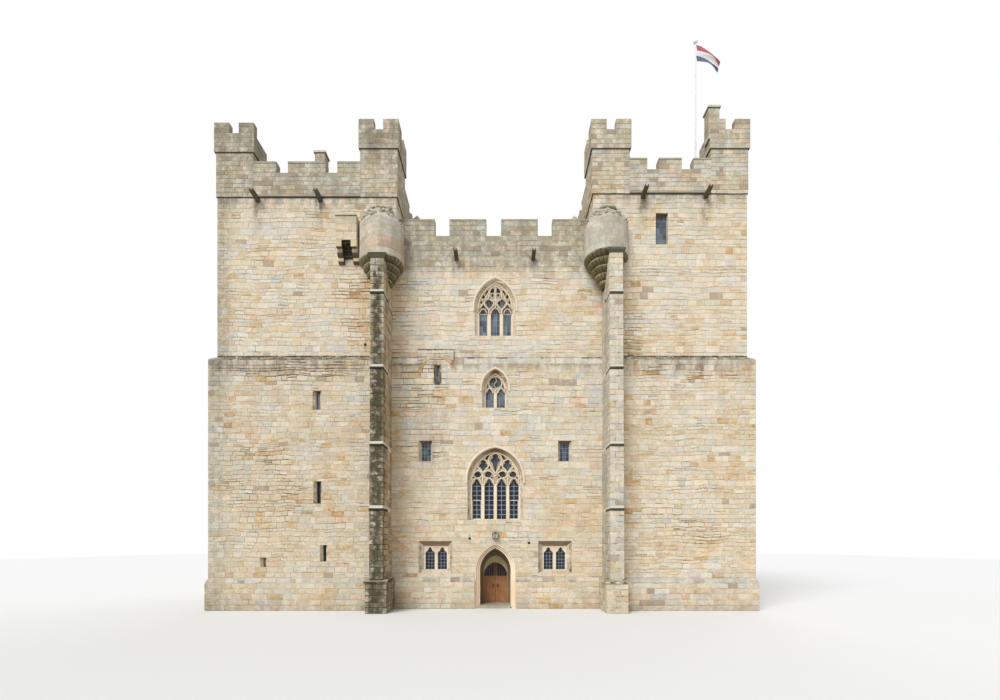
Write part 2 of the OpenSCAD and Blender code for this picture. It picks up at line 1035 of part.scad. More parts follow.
module front_buttresses() {
    buttress(x_li - buttress_w, x_li, drum_z);
    buttress(x_ri, x_ri + buttress_w, right_drum_z);
}

module buttresses() {
    color(GREY)
        front_and_back()
            difference() {
                front_buttresses();
                box(x_li, x_ri, y_bay - plinth_out, y_room, 0, first_z);
                left_mass();
                right_mass();
            }
}

x_left_drum = x_li - left_drum_in;
x_right_drum = x_ri + right_drum_in;

module drum(x, z) {
    translate([x, y_upper + drum_sink, 0])
        rotate_extrude($fn = 96)
            drum_outline(z);
}

module corner_turrets() {
    color(STONE)
        front_and_back()
            difference() {
                union() {
                    drum(x_left_drum, drum_z);
                    drum(x_right_drum, right_drum_z);
                }
                left_mass();
                right_mass();
                block_front(x_li - e, x_ri + e, second_z, block_top);
                box(x_li_up - e, x_ri_up + e, y_bay, y_room, block_top, wing_top);
                front_buttresses();
            }
}

box_w = 1080;
box_out = 600;
box_wall = 300;
box_head = 200;
box_foot = 18950;
box_front_z = 19290;
box_top = 20540;
box_ledge = 60;
corbel_z = [18560, 18310];
corbel_out = [400, 200];
corbel_lap = 30;
drum_clear = 10;

// A corbel stone in profile, square above and round below
module corbel_stone(out, z0, z1) {
    r = out * 0.8;
    translate([-out, z0 + r])
        square([out, z1 - z0 - r]);
    translate([r - out, z0])
        square([out - r, r + e]);
    intersection() {
        translate([-out + r, z0 + r])
            circle(r, $fn = 48);
        translate([-out, z0])
            square([out, r]);
    }
}

// A box of stone on two rows of corbels, open below
module corbelled_box() {
    x0 = x_left_drum - drum_r - drum_clear - box_w;
    color(STONE)
        translate([x0, y_upper, 0]) {
            difference() {
                box(0, box_w, -box_out, 0, box_foot, box_top);
                box(box_wall, box_w - box_wall, -box_out - e, e, box_foot - e, box_front_z);
                box(box_wall, box_w - box_wall, -box_out + box_head, e,
                    box_front_z - e, box_top - box_head);
            }
            box(-box_ledge / 2, box_w, -box_out - box_ledge, 0, box_top, box_top + box_ledge);
            for (x = [0, box_w - box_wall])
                along_x(x, x + box_wall) {
                    corbel_stone(corbel_out[0], corbel_z[0], box_foot + e);
                    corbel_stone(corbel_out[1], corbel_z[1], corbel_z[0] + corbel_lap);
                }
        }
}

spout_w = 200;
spout_h = 220;
spout_out = 750;

// A stone spout with a trough in its top and a slanting underside
module spout(x, y, z) {
    translate([x - spout_w / 2, y, z])
        difference() {
            along_x(0, spout_w)
                polygon([
                    [0, 0], [0, -spout_h], [-spout_out + 150, -spout_h + 90],
                    [-spout_out, -spout_h + 90], [-spout_out, 0]
                ]);
            box(50, spout_w - 50, -spout_out - e, -50, -70, e);
        }
}

wing_spout_gap = 3320;
left_spout_shift = -940;
right_spout_shift = 210;
block_spout_gap = 4180;
block_spout_shift = -20;
spout_drop = 30;

module water_spouts() {
    left_mid = (x_lo_up + x_li_up) / 2 + left_spout_shift;
    right_mid = (x_ri_up + x_ro_up) / 2 + right_spout_shift;
    color(GREY)
        front_and_back()
            for (s = [-1, 1]) {
                spout(left_mid + s * wing_spout_gap / 2, y_upper, wing_top - spout_drop);
                spout(right_mid + s * wing_spout_gap / 2, y_upper, right_top - spout_drop);
                spout(x_axis + block_spout_shift + s * block_spout_gap / 2,
                    y_bay + block_set, block_top - spout_drop);
            }
}

// A square stack with a cap and a pyramid
module stack(w, h, peak) {
    c = w / 2 + stack_cap_out;
    top = h + stack_cap_h;
    box(-w / 2, w / 2, -w / 2, w / 2, 0, h);
    box(-c, c, -c, c, h, top);
    intersection() {
        along_y(-c, c)
            polygon([[-c, top], [c, top], [0, top + peak]]);
        along_x(-c, c)
            polygon([[-c, top], [c, top], [0, top + peak]]);
    }
}

left_stack_x = 5220;
left_stack_y = 2000;
left_stack_h = 3600;
block_stack_y = 4000;
block_stack_h = 3700;
block_stack_peak = 560;
stack_clear = parapet_out + coping_out + stack_cap_out + 20 + stack_w / 2;

module chimneys() {
    color(STONE) {
        translate([stack_x + stack_w / 2, stack_y + stack_w / 2, stack_foot])
            stack(stack_w, wing_top + stack_top - stack_foot - stack_cap_h - stack_peak, stack_peak);
        translate([x_lo + left_stack_x, y_front + left_stack_y, wing_top])
            stack(stack_w, left_stack_h, stack_peak);
        for (x = [x_li_up + stack_clear, x_ri_up - stack_clear])
            translate([x, y_front + block_stack_y, block_top])
                stack(stack_w, block_stack_h, block_stack_peak);
    }
}

pole_x = x_ro - pole_in;
pole_y = y_front + pole_back;
ball_r = 120;

module flagpole() {
    color("white")
        translate([pole_x, pole_y, right_top]) {
            cylinder(r = 3 * pole_r, h = 300, $fn = 48);
            cylinder(r1 = pole_r, r2 = pole_r / 2, h = pole_h, $fn = 48);
            translate([0, 0, pole_h])
                sphere(ball_r, $fn = 48);
        }
}

module flag() {
    t = 120;
    top = right_top + pole_h - 50 - ball_r;
    fly = 1400;
    droop = 1600;
    pole_there = pole_r * (1 - (top - flag_h - right_top) / pole_h / 2);
    color("#a02040")
        translate([pole_x + pole_there + 0.3, pole_y, 0])
            along_y(-t / 2, t / 2)
                polygon([
                    [0, top], [0, top - flag_h], [fly, top - droop], [fly, top - droop + 500]
                ]);
}

// The moulded stone of the door in section: two rolls, two hollows and a splay
module door_profile() {
    s = surround_w;
    o = order_d;
    polygon([
        [s, 0], [0.8 * s, 0], [0.72 * s, 0.25 * o], [0.72 * s, 0.65 * o],
        [0.62 * s, 0.8 * o], [0.48 * s, 0.8 * o], [0.4 * s, o], [0.4 * s, 1.45 * o],
        [0.3 * s, 1.6 * o], [0.12 * s, 1.6 * o], [0, 2 * o], [0, porch_d], [s, porch_d]
    ]);
}

module door_jambs() {
    color(STONE)
        translate([x_axis, y_bay, 0])
            jamb_sweep(door_w, 0, door_spring)
                door_profile();
}

module door_arch() {
    color(STONE)
        translate([x_axis, y_bay, 0])
            arc_sweep(door_w, door_spring, door_apex)
                door_profile();
}

module inner_door_arch() {
    color(STONE)
        translate([x_axis, 0, 0])
            along_y(y_bay + porch_d, y_bay + porch_d + inner_arch_t)
                difference() {
                    grown(door_w, 0, door_spring, door_apex, surround_w);
                    pointed(inner_w, -e, inner_spring, inner_apex);
                }
}

module threshold() {
    color(GREY) {
        box(x_axis - door_w / 2, x_axis + door_w / 2, y_bay, y_bay + porch_d, 0, ground_z);
        box(x_axis - reveal_w / 2, x_axis + reveal_w / 2,
            y_bay + porch_d + inner_arch_t, y_room, 0, ground_z);
    }
}

y_leaf = y_bay + porch_d + inner_arch_t + leaf_gap;
leaf_w = inner_w + 2 * leaf_lap;
pin_x = leaf_w / 2 + 20;
pin_y = y_leaf + leaf_t + 20;
pin_zs = [520, 1500];
knuckle_r = pin_r + 10;
knuckle_h = 60;
strap_t = 8;

// Outline of the left leaf, with its opening over the lock rail
module leaf_outline() {
    intersection() {
        grown(inner_w, ground_z + leaf_gap, inner_spring, inner_apex, leaf_lap);
        translate([-leaf_w / 2, 0])
            square([leaf_w / 2 - meet_gap / 2, inner_apex + 2 * leaf_lap]);
    }
}

module leaf_light() {
    intersection() {
        grown(inner_w, rail_z + stile_w / 2, inner_spring, inner_apex, leaf_lap - stile_w);
        translate([-leaf_w / 2, 0])
            square([leaf_w / 2 - meet_gap / 2 - stile_w, inner_apex]);
    }
}

bar_n = 3;

module door_leaf() {
    x0 = -leaf_w / 2 + stile_w;
    x1 = -meet_gap / 2 - stile_w;
    foot = ground_z + leaf_gap + 2 * stile_w;
    panel_w = (x1 - x0 - stile_w / 2) / 2;
    difference() {
        along_y(y_leaf, y_leaf + leaf_t)
            leaf_outline();
        along_y(y_leaf - e, y_leaf + leaf_t + e)
            leaf_light();
        for (x = [x0, x0 + panel_w + stile_w / 2])
            box(x, x + panel_w, y_leaf - e, y_leaf + leaf_t / 4, foot, rail_z - stile_w / 2);
    }
    intersection() {
        along_y(y_leaf + leaf_t / 4, y_leaf + leaf_t / 2)
            leaf_light();
        for (i = [1:bar_n])
            translate([x0 + i * (x1 - x0) / (bar_n + 1) - 12, y_leaf, rail_z])
                cube([24, leaf_t, inner_apex - rail_z]);
    }
    for (z = pin_zs)
        difference() {
            union() {
                translate([-pin_x, pin_y, z])
                    cylinder(r = knuckle_r, h = knuckle_h, $fn = 48);
                box(-pin_x, -pin_x + 370, y_leaf + leaf_t, y_leaf + leaf_t + strap_t, z, z + knuckle_h);
            }
            translate([-pin_x, pin_y, z - e])
                cylinder(r = pin_r + pin_clear, h = knuckle_h + 2 * e, $fn = 48);
        }
}

module leaf_glass() {
    along_y(y_leaf + leaf_t / 2, y_leaf + leaf_t / 2 + glass_t)
        leaf_light();
}

module left_door() {
    color(WOOD)
        translate([x_axis, 0, 0])
            door_leaf();
}

module right_door() {
    color(WOOD)
        translate([x_axis, 0, 0])
            mirror([1, 0, 0])
                door_leaf();
}

module left_door_glass() {
    color(GLASS)
        translate([x_axis, 0, 0])
            leaf_glass();
}

module right_door_glass() {
    color(GLASS)
        translate([x_axis, 0, 0])
            mirror([1, 0, 0])
                leaf_glass();
}

module door_pins() {
    arm_h = 30;
    color(DARK)
        for (s = [-1, 1], z = pin_zs)
            translate([x_axis + s * pin_x, 0, z - pin_clear - arm_h]) {
                box(-pin_r, pin_r, y_leaf - leaf_gap, pin_y, 0, arm_h);
                translate([0, pin_y, 0])
                    cylinder(r = pin_r, h = arm_h + pin_clear + knuckle_h, $fn = 48);
            }
}

lantern_w = 330;
lantern_z = 3800;

module lantern() {
    color(DARK)
        translate([x_axis, y_bay, lantern_z]) {
            box(-lantern_w / 2, lantern_w / 2, -250, -60, 0, 340);
            box(-60, 60, -60, 0, 120, 240);
        }
}

// A light with a cusped head: two side lobes and a pointed one
module light(x, w, sill, spring) {
    translate([x, 0]) {
        translate([-w / 2, sill])
            square([w, spring - sill]);
        for (s = [-1, 1])
            translate([s * w * 0.23, spring])
                circle(w * 0.285, $fn = 32);
        dagger(0, spring + w * 0.2, w * 1.04, w * 0.56, 0);
    }
}

// Two pointed lobes, one over the other, and a round one at each side
module tall_quatrefoil(x, z, w, h) {
    dagger(x, z, h, w * 0.8, 0);
    for (s = [-1, 1])
        translate([x + s * w * 0.32, z])
            circle(w * 0.18, $fn = 32);
}

// A pointed lobe round its middle, turned by an angle
module dagger(x, z, len, w, turn) {
    r = (len * len / 4 + w * w / 4) / w;
    translate([x, z])
        rotate(turn)
            intersection() {
                translate([r - w / 2, 0])
                    circle(r, $fn = 96);
                translate([w / 2 - r, 0])
                    circle(r, $fn = 96);
            }
}

// A hanging drop with a round head and two side lobes; size is its width
module drop(x, z, size, len) {
    translate([x, z]) {
        for (s = [-1, 1])
            translate([s * size * 0.26, 0])
                circle(size * 0.24, $fn = 32);
        translate([0, size * 0.42])
            circle(size * 0.3, $fn = 32);
        polygon([[-size * 0.4, 0], [size * 0.4, 0], [0, -len]]);
        square([size * 0.5, size * 0.6], center = true);
    }
}

// A round divided by a bar like a flat S
module divided_round(x, z, r, bar) {
    translate([x, z])
        rotate(40)
            difference() {
                circle(r, $fn = 48);
                for (s = [0, 1])
                    mirror([s, 0])
                        mirror([0, s])
                            intersection() {
                                translate([0, r / 2])
                                    difference() {
                                        circle(r / 2 + bar / 2, $fn = 48);
                                        circle(r / 2 - bar / 2, $fn = 48);
                                    }
                                translate([0, -bar])
                                    square([r, r + 2 * bar]);
                            }
            }
}

// The same hole on both sides of the middle
module both_sides() {
    children();
    mirror([1, 0])
        children();
}

// Centres of n lights across a window
function light_w(w, n) = (w - 2 * margin_w - (n - 1) * mullion_w) / n;
function light_x(w, n, i) = -w / 2 + margin_w + light_w(w, n) * (i + 0.5) + i * mullion_w;

module tracery(w, sill, spring, apex, n, light_spring) {
    y0 = y_bay + tracery_back;
    lw = light_w(w, n);
    translate([x_axis, 0, 0])
        along_y(y0, y0 + tracery_t)
            difference() {
                pointed(w, sill, spring, apex);
                for (i = [0:n - 1])
                    light(light_x(w, n, i), lw, sill + margin_w, light_spring);
                children();
            }
}

// Holes in the heads are placed by hundredths of the width and of the rise
module hall_tracery() {
    z = hall_spring;
    u = hall_w / 100;
    v = hall_rise / 100;
    lw = light_w(hall_w, 4);
    color(STONE)
        front_and_back()
            tracery(hall_w, hall_sill, hall_spring, hall_apex, 4, z - 0.58 * lw) {
                drop(0, z + 70 * v, 19 * u, 44 * v);
                both_sides() {
                    drop(24.5 * u, z + 51 * v, 17 * u, 23 * v);
                    dagger(14.6 * u, z + 21 * v, 20 * u, 12 * u, 44);
                    dagger(36.4 * u, z + 21 * v, 20 * u, 12 * u, -44);
                    dagger(16.4 * u, z + 80 * v, 13 * u, 5.4 * u, 36);
                    dagger(37.2 * u, z + 45 * v, 6.4 * u, 4.4 * u, 24);
                    dagger(12 * u, z + 45 * v, 6 * u, 4.2 * u, 0);
                    dagger(44.6 * u, z + 10 * v, 4.6 * u, 3.8 * u, -60);
                    dagger(7.2 * u, z + 10 * v, 4.6 * u, 3.8 * u, 60);
                }
            }
}

module second_tracery() {
    z = second_spring;
    u = second_w / 100;
    v = second_rise / 100;
    color(STONE)
        front_and_back()
            tracery(second_w, second_sill, second_spring, second_apex, 2, z - 33 * v) {
                divided_round(0, z + 42 * v, 28 * u, 4 * u);
                both_sides()
                    dagger(37 * u, z + 20 * v, 29 * u, 10 * u, 14);
            }
}

module third_tracery() {
    z = third_spring;
    u = third_w / 100;
    v = third_rise / 100;
    color(STONE)
        front_and_back()
            tracery(third_w, third_sill, third_spring, third_apex, 3, z - 9.4 * v) {
                both_sides() {
                    tall_quatrefoil(16.9 * u, z + 24.3 * v, 23.6 * u, 33.4 * u);
                    dagger(34 * u, z + 47 * v, 11 * u, 8.6 * u, 0);
                    dagger(40 * u, z + 25.7 * v, 10 * u, 6 * u, 10);
                    dagger(8.2 * u, z + 53 * v, 9 * u, 7 * u, 0);
                    light(9 * u, 10.6 * u, z + 62.5 * v, z + 75.5 * v);
                    dagger(24.6 * u, z + 61 * v, 18.4 * u, 8 * u, 24);
                }
                dagger(0, z + 92 * v, 7 * u, 6 * u, 0);
            }
}

module ground_tracery() {
    lw = light_w(ground_w, 2);
    y0 = y_bay + ground_recess_d;
    color(STONE)
        front_and_back()
            for (s = [-1, 1])
                translate([x_axis + s * ground_x, 0, 0])
                    along_y(y0, y0 + tracery_t)
                        difference() {
                            translate([-ground_w / 2, ground_sill])
                                square([ground_w, ground_head - ground_sill]);
                            for (i = [0, 1])
                                light(light_x(ground_w, 2, i), lw, ground_sill + margin_w,
                                    ground_head - lw * 0.72 - margin_w);
                        }
}

hood_return = 200;

// A hood mould in section, from the edge of the splay outwards
module hood_profile(g) {
    polygon([
        [g, 0], [g, -0.4 * hood_out], [g + 0.3 * hood_w, -hood_out],
        [g + 0.7 * hood_w, -hood_out], [g + hood_w, -0.45 * hood_out], [g + hood_w, 0]
    ]);
}

module hood(w, spring, apex, g, face) {
    translate([x_axis, y_bay + face, 0]) {
        jamb_sweep(w, spring - hood_return, spring)
            hood_profile(g);
        arc_sweep(w, spring, apex)
            hood_profile(g);
    }
}

module hood_moulds() {
    color(STONE)
        front_and_back() {
            hood(hall_w, hall_spring, hall_apex, splay_w, 0);
            hood(second_w, second_spring, second_apex, second_splay_w, 0);
            hood(third_w, third_spring, third_apex, splay_w, block_set);
        }
}

module sheet(w, sill, spring, apex) {
    y0 = y_bay + tracery_back + tracery_t;
    translate([x_axis, 0, 0])
        along_y(y0, y0 + glass_t)
            pointed(w, sill, spring, apex);
}

module block_glass() {
    y0 = y_bay + tracery_back;
    y1 = y_bay + ground_recess_d + tracery_t;
    slit_x = x_axis + block_slit_x;
    color(GLASS)
        front_and_back() {
            sheet(hall_w, hall_sill, hall_spring, hall_apex);
            sheet(second_w, second_sill, second_spring, second_apex);
            sheet(third_w, third_sill, third_spring, third_apex);
            for (s = [-1, 1]) {
                box(x_axis + s * ground_x - ground_w / 2, x_axis + s * ground_x + ground_w / 2,
                    y1, y1 + glass_t, ground_sill, ground_head);
                box(x_axis + s * small_x - small_w / 2, x_axis + s * small_x + small_w / 2,
                    y0, y0 + glass_t, small_sill, small_sill + small_h);
            }
            box(slit_x - block_slit_w / 2, slit_x + block_slit_w / 2,
                y0, y0 + glass_t, block_slit_z[0], block_slit_z[1]);
        }
}

module wing_glass() {
    d = 260;
    color(GLASS)
        front_and_back() {
            for (s = LEFT_SLITS)
                box(x_lo + s[0] - s[1] / 2, x_lo + s[0] + s[1] / 2,
                    y_front + d, y_front + d + glass_t, s[2], s[3]);
            box(x_ri + wing_window_x - wing_window_w / 2, x_ri + wing_window_x + wing_window_w / 2,
                y_upper + d, y_upper + d + glass_t, wing_window_z, wing_window_z + wing_window_h);
        }
}

left_wing_front();
left_wing_side();
left_wing_inner();
left_wing_back();
right_wing_front();
right_wing_side();
right_wing_inner();
right_wing_back();
left_pier_wall();
right_pier_wall();
over_door_wall();
hall_wall();
second_storey_wall();
third_storey_wall();
back_ground_wall();
back_hall_wall();
back_upper_wall();
ground_floor();
first_floor();
second_floor();
third_floor();
fourth_floor();
roofs();
left_wing_parapet();
right_wing_parapet();
block_parapet();
left_wing_turrets();
right_wing_turrets();
corner_turrets();
buttresses();
corbelled_box();
water_spouts();
chimneys();
flagpole();
flag();
door_jambs();
door_arch();
inner_door_arch();
threshold();
door_pins();
left_door();
right_door();
left_door_glass();
right_door_glass();
lantern();
hall_tracery();
second_tracery();
third_tracery();
ground_tracery();
hood_moulds();
block_glass();
wing_glass();
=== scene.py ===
"""The looks of a castle keep: facing stones, glazing, lantern, flag, floor, light and camera."""
import json
import math
import random

import bmesh
import bpy
import numpy as np
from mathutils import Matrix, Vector, noise

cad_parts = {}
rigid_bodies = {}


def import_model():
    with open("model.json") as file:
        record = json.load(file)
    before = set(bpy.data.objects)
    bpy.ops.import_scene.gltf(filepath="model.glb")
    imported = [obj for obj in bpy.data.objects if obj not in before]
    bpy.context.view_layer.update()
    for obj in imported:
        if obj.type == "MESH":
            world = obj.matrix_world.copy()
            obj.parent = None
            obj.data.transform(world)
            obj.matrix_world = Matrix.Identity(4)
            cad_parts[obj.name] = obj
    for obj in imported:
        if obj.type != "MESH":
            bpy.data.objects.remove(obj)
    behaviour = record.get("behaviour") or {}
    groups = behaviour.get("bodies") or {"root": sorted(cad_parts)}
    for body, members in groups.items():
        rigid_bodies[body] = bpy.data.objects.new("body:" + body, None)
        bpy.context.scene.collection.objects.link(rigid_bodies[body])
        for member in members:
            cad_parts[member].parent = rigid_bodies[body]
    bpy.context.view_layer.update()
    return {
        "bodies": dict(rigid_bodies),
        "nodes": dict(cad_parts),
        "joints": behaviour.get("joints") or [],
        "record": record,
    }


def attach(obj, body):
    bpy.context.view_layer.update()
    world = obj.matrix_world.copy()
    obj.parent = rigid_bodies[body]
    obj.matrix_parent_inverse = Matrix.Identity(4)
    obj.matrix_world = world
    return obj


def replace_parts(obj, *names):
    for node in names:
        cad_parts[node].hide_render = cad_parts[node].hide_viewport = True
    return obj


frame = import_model()
nodes = frame["nodes"]
rng = random.Random(11)

# Main places, in metres, as in the CAD part
X_LO, X_LI, X_RI, X_RO = -14.405, -4.955, 6.515, 14.405
X_LO_UP, X_LI_UP, X_RI_UP, X_RO_UP = -14.065, -4.545, 5.905, 14.065
X_AXIS = 0.69
Y_FRONT, Y_UPPER, Y_BAY, Y_BLOCK_UP = -6.75, -6.5, -5.95, -5.83
PARAPET_OUT, PARAPET_T = 0.05, 0.45
Y_PARAPET = Y_UPPER - PARAPET_OUT
PLINTH_OUT = 0.12
PLINTH_Z = 1.71
SLOPE_Z = PLINTH_Z - 0.26
# Foot and top of the sloped bands over the plinth and at the walls' offsets
PLINTH_BAND, OFFSET_BAND, BLOCK_BAND = (SLOPE_Z, PLINTH_Z), (13.2, 13.45), (13.28, 13.66)
OFFSET_Z, BLOCK_OFFSET_Z = OFFSET_BAND[0], BLOCK_BAND[0]
WING_TOP, RIGHT_TOP, BLOCK_TOP = 21.9, 22.09, 19.2
BUTTRESS_W = 0.67
BUTTRESS_OFFSETS = (5.43, 8.68, 12.59, 16.42)
DRUM_R, DRUM_Y = 1.15, -6.44
DRUMS = ((-5.345, 18.35, 1), (6.585, 18.62, -1))
CONE = ((20.2, 1.15), (20.65, 0.9), (21.1, 0.5))
RING_H = 0.316
TURRET_W, TURRET_D, CROWN_Z, CROWN_H, CROWN_OUT = 1.97, 1.25, 24.45, 1.0, 0.07
# Square turrets: left and right edge, depth, foot and crown
TURRETS = ((-14.115, -12.145, TURRET_D, WING_TOP, 24.25), (-6.465, -4.495, TURRET_W, WING_TOP, CROWN_Z),
           (5.855, 7.825, TURRET_W, RIGHT_TOP, CROWN_Z), (12.145, 14.115, TURRET_D, RIGHT_TOP, CROWN_Z))
# Width, foot, spring and apex of the door and the arched windows
DOOR, HALL = (1.65, 0.0, 2.05, 3.24), (2.68, 4.81, 7.0, 8.56)
SECOND, THIRD = (1.18, 10.91, 12.0, 12.87), (1.92, 14.87, 16.4, 17.81)
DOOR_R = (0.825 ** 2 + 1.19 ** 2) / 1.65
# How far the middles of the ground floor and the small windows are from the axis
GROUND_X, SMALL_X = 3.25, 3.78
PUTLOGS = ((-0.7, 3.8), (2.52, 3.56), (-1.46, 13.01), (-6.21, 14.1))
# Broken places with open joints: middle x and z, half width and half height, depth
BROKEN = ((-9.6, 12.75, 5.6, 0.75, 1.0), (-6.7, 17.1, 1.6, 0.9, 0.9), (-6.3, 15.2, 1.2, 1.4, 0.5),
          (-3.3, 12.2, 1.7, 1.7, 0.8), (-3.2, 8.9, 1.5, 1.2, 0.5), (10.6, 12.6, 3.4, 0.55, 0.6),
          (7.6, 15.6, 1.2, 2.8, 0.6), (-11.4, 6.5, 2.6, 3.2, 0.4), (11.5, 5.0, 3.0, 2.4, 0.35),
          (-1.8, 13.6, 3.2, 0.35, 0.7), (-4.5, 15.5, 0.7, 3.0, 0.6))


# ---------------------------------------------------------------- materials

class Value:
    """A node's output, with operators that add a math node."""

    def __init__(self, tree, socket):
        self.tree, self.socket = tree, socket

    def __abs__(self):
        return self.tree.math("ABSOLUTE", self)


for sign, operation in (("add", "ADD"), ("sub", "SUBTRACT"), ("mul", "MULTIPLY"), ("truediv", "DIVIDE"),
                        ("gt", "GREATER_THAN"), ("lt", "LESS_THAN")):
    setattr(Value, f"__{sign}__", lambda a, b, o=operation: a.tree.math(o, a, b))
    setattr(Value, f"__r{sign}__", lambda a, b, o=operation: a.tree.math(o, b, a))


class Tree:
    """Adds nodes to the tree of a material or world."""

    def __init__(self, owner):
        owner.use_nodes = True
        self.owner, self.tree = owner, owner.node_tree

    def put(self, socket, value):
        if isinstance(value, Value):
            self.tree.links.new(value.socket, socket)
        elif socket.type == "RGBA":
            socket.default_value = (*value[:3], 1.0)
        else:
            socket.default_value = value

    def add(self, kind, out=0, inputs=(), **settings):
        """A new node with inputs by name or number; gives one output, or all of them where out is None."""
        made = self.tree.nodes.new("ShaderNode" + kind)
        for key, value in settings.items():
            setattr(made, key, value)
        for key, value in dict(inputs).items():
            self.put(made.inputs[key], value)
        return [Value(self, o) for o in made.outputs] if out is None else Value(self, made.outputs[out])

    def math(self, operation, a, b=0.0):
        return self.add("Math", 0, {0: a, 1: b}, operation=operation)

    def most(self, a, b):
        return self.math("MAXIMUM", a, b)


class Shader(Tree):
    """The nodes of one new material; place is where a point lies, xyz its three shares."""

    def __init__(self, name):
        super().__init__(bpy.data.materials.new(name))
        self.bsdf = self.tree.nodes["Principled BSDF"]
        self.place = self.add("TexCoord", "Object")
        self.xyz = self.split(self.place)

    def split(self, vector):
        return self.add("SeparateXYZ", None, {0: vector})

    def join(self, x, y, z):
        return self.add("CombineXYZ", 0, {0: x, 1: y, 2: z})

    def noise(self, place, scale, detail=3.0, rough=0.55):
        return self.add("TexNoise", 0, {"Vector": place, "Scale": scale, "Detail": detail, "Roughness": rough})

    def streaks(self, across, up, detail=3.0, rough=0.55):
        """Noise with scales of its own across and up."""
        x, y, z = self.xyz
        return self.noise(self.join(x * across, y * across, z * up), 1.0, detail, rough)

    def ramp(self, value, stops, interpolation="LINEAR"):
        made = self.tree.nodes.new("ShaderNodeValToRGB")
        line = made.color_ramp
        line.interpolation = interpolation
        while len(line.elements) < len(stops):
            line.elements.new(0.5)
        for element, (at, colour) in zip(line.elements, stops):
            element.position = at
            element.color = (*colour, 1.0)
        self.put(made.inputs[0], value)
        return Value(self, made.outputs[0])

    def band(self, value, low, high):
        """0 below low, 1 above high."""
        return self.add("MapRange", 0, {"Value": value, "From Min": low, "From Max": high},
                        interpolation_type="SMOOTHSTEP")

    def patch(self, scale, detail, rough, low, high):
        """Blots of noise, 1 inside and 0 outside."""
        return self.band(self.noise(self.place, scale, detail, rough), low, high)

    def mix(self, amount, a, b, kind="MIX"):
        return self.add("Mix", 2, {0: amount, 6: a, 7: b}, data_type="RGBA", blend_type=kind)

    def layers(self, colour, *rows):
        """Lays colours over one another, each row with its mask, its strength and its colour."""
        for mask, amount, tint in rows:
            colour = self.mix(mask * amount, colour, tint)
        return colour

    def lit(self, colour, light):
        return self.mix(1.0, colour, self.join(light, light, light), "MULTIPLY")

    def finish(self, colour, rough, specular, height, distance, strength):
        bump = self.add("Bump", 0, {"Strength": strength, "Distance": distance, "Height": height})
        for key, value in (("Base Color", colour), ("Roughness", rough), ("Specular IOR Level", specular),
                           ("Normal", bump)):
            self.put(self.bsdf.inputs[key], value)
        return self.owner


def stops(*colours, at=(0.3, 0.5, 0.72)):
    return tuple(zip(at, colours))


# Stone colours from cold grey to burnt orange
WARMTH = stops((0.59, 0.575, 0.53), (0.7, 0.67, 0.595), (0.785, 0.72, 0.595), (0.775, 0.665, 0.49),
               (0.74, 0.575, 0.375), (0.69, 0.46, 0.225), (0.48, 0.28, 0.12), at=(0.0, 0.14, 0.3, 0.44, 0.6, 0.8, 1.0))
MORTAR = stops((0.06, 0.04, 0.024), (0.2, 0.14, 0.082), (0.45, 0.365, 0.25), (0.69, 0.615, 0.485),
               at=(0.26, 0.38, 0.47, 0.6))
HOOD = stops((0.72, 0.58, 0.42), (0.84, 0.72, 0.555), (0.88, 0.8, 0.67))
TRACE = stops((0.7, 0.55, 0.38), (0.82, 0.69, 0.52), (0.88, 0.79, 0.64))
WARM = stops((0.82, 0.62, 0.405), (0.91, 0.765, 0.575), (0.94, 0.87, 0.73))
PORCH = stops((0.44, 0.35, 0.19), (0.58, 0.47, 0.28), (0.66, 0.56, 0.37))
PALE = stops((0.6, 0.5, 0.36), (0.7, 0.61, 0.465), (0.76, 0.69, 0.57))
GREYISH = stops((0.33, 0.28, 0.2), (0.45, 0.395, 0.3), (0.57, 0.52, 0.42))
BROWNISH = stops((0.08, 0.062, 0.022), (0.16, 0.132, 0.05), (0.31, 0.268, 0.12))
FLAGS = stops((0.3, 0.29, 0.26), (0.4, 0.385, 0.345), (0.5, 0.485, 0.44))
BOX = stops((0.5, 0.4, 0.22), (0.62, 0.52, 0.32), (0.7, 0.61, 0.42), at=(0.3, 0.5, 0.7))
SPOUT = stops((0.04, 0.032, 0.018), (0.085, 0.068, 0.04), (0.23, 0.2, 0.14), at=(0.3, 0.5, 0.75))
OAK = stops((0.19, 0.08, 0.032), (0.38, 0.17, 0.065), (0.52, 0.27, 0.12), at=(0.32, 0.5, 0.68))


def weathered(s, colour, soot, lichen, moss):
    """Soot streaks, lichen and moss over a stone colour, each by its own amount from 0 to 1."""
    streak, blot = s.streaks(2.2, 0.3, 4.0, 0.6), s.noise(s.place, 2.6, 5.0, 0.65)
    dark = soot * s.band(streak * 0.6 + blot * 0.4, 0.36, 0.62)
    colour = s.mix(s.math("MINIMUM", dark, 0.85), colour, (0.105, 0.08, 0.052))
    colour = s.layers(colour, (lichen * s.patch(3.4, 6.0, 0.7, 0.4, 0.6), 0.75, (0.31, 0.292, 0.196)),
                      (lichen * s.patch(17.0, 4.0, 0.75, 0.56, 0.66), 0.55, (0.7, 0.69, 0.6)))
    green = s.math("MINIMUM", moss * s.patch(4.2, 6.0, 0.7, 0.34, 0.56), 0.92)
    return s.mix(green, colour, (0.062, 0.058, 0.03))


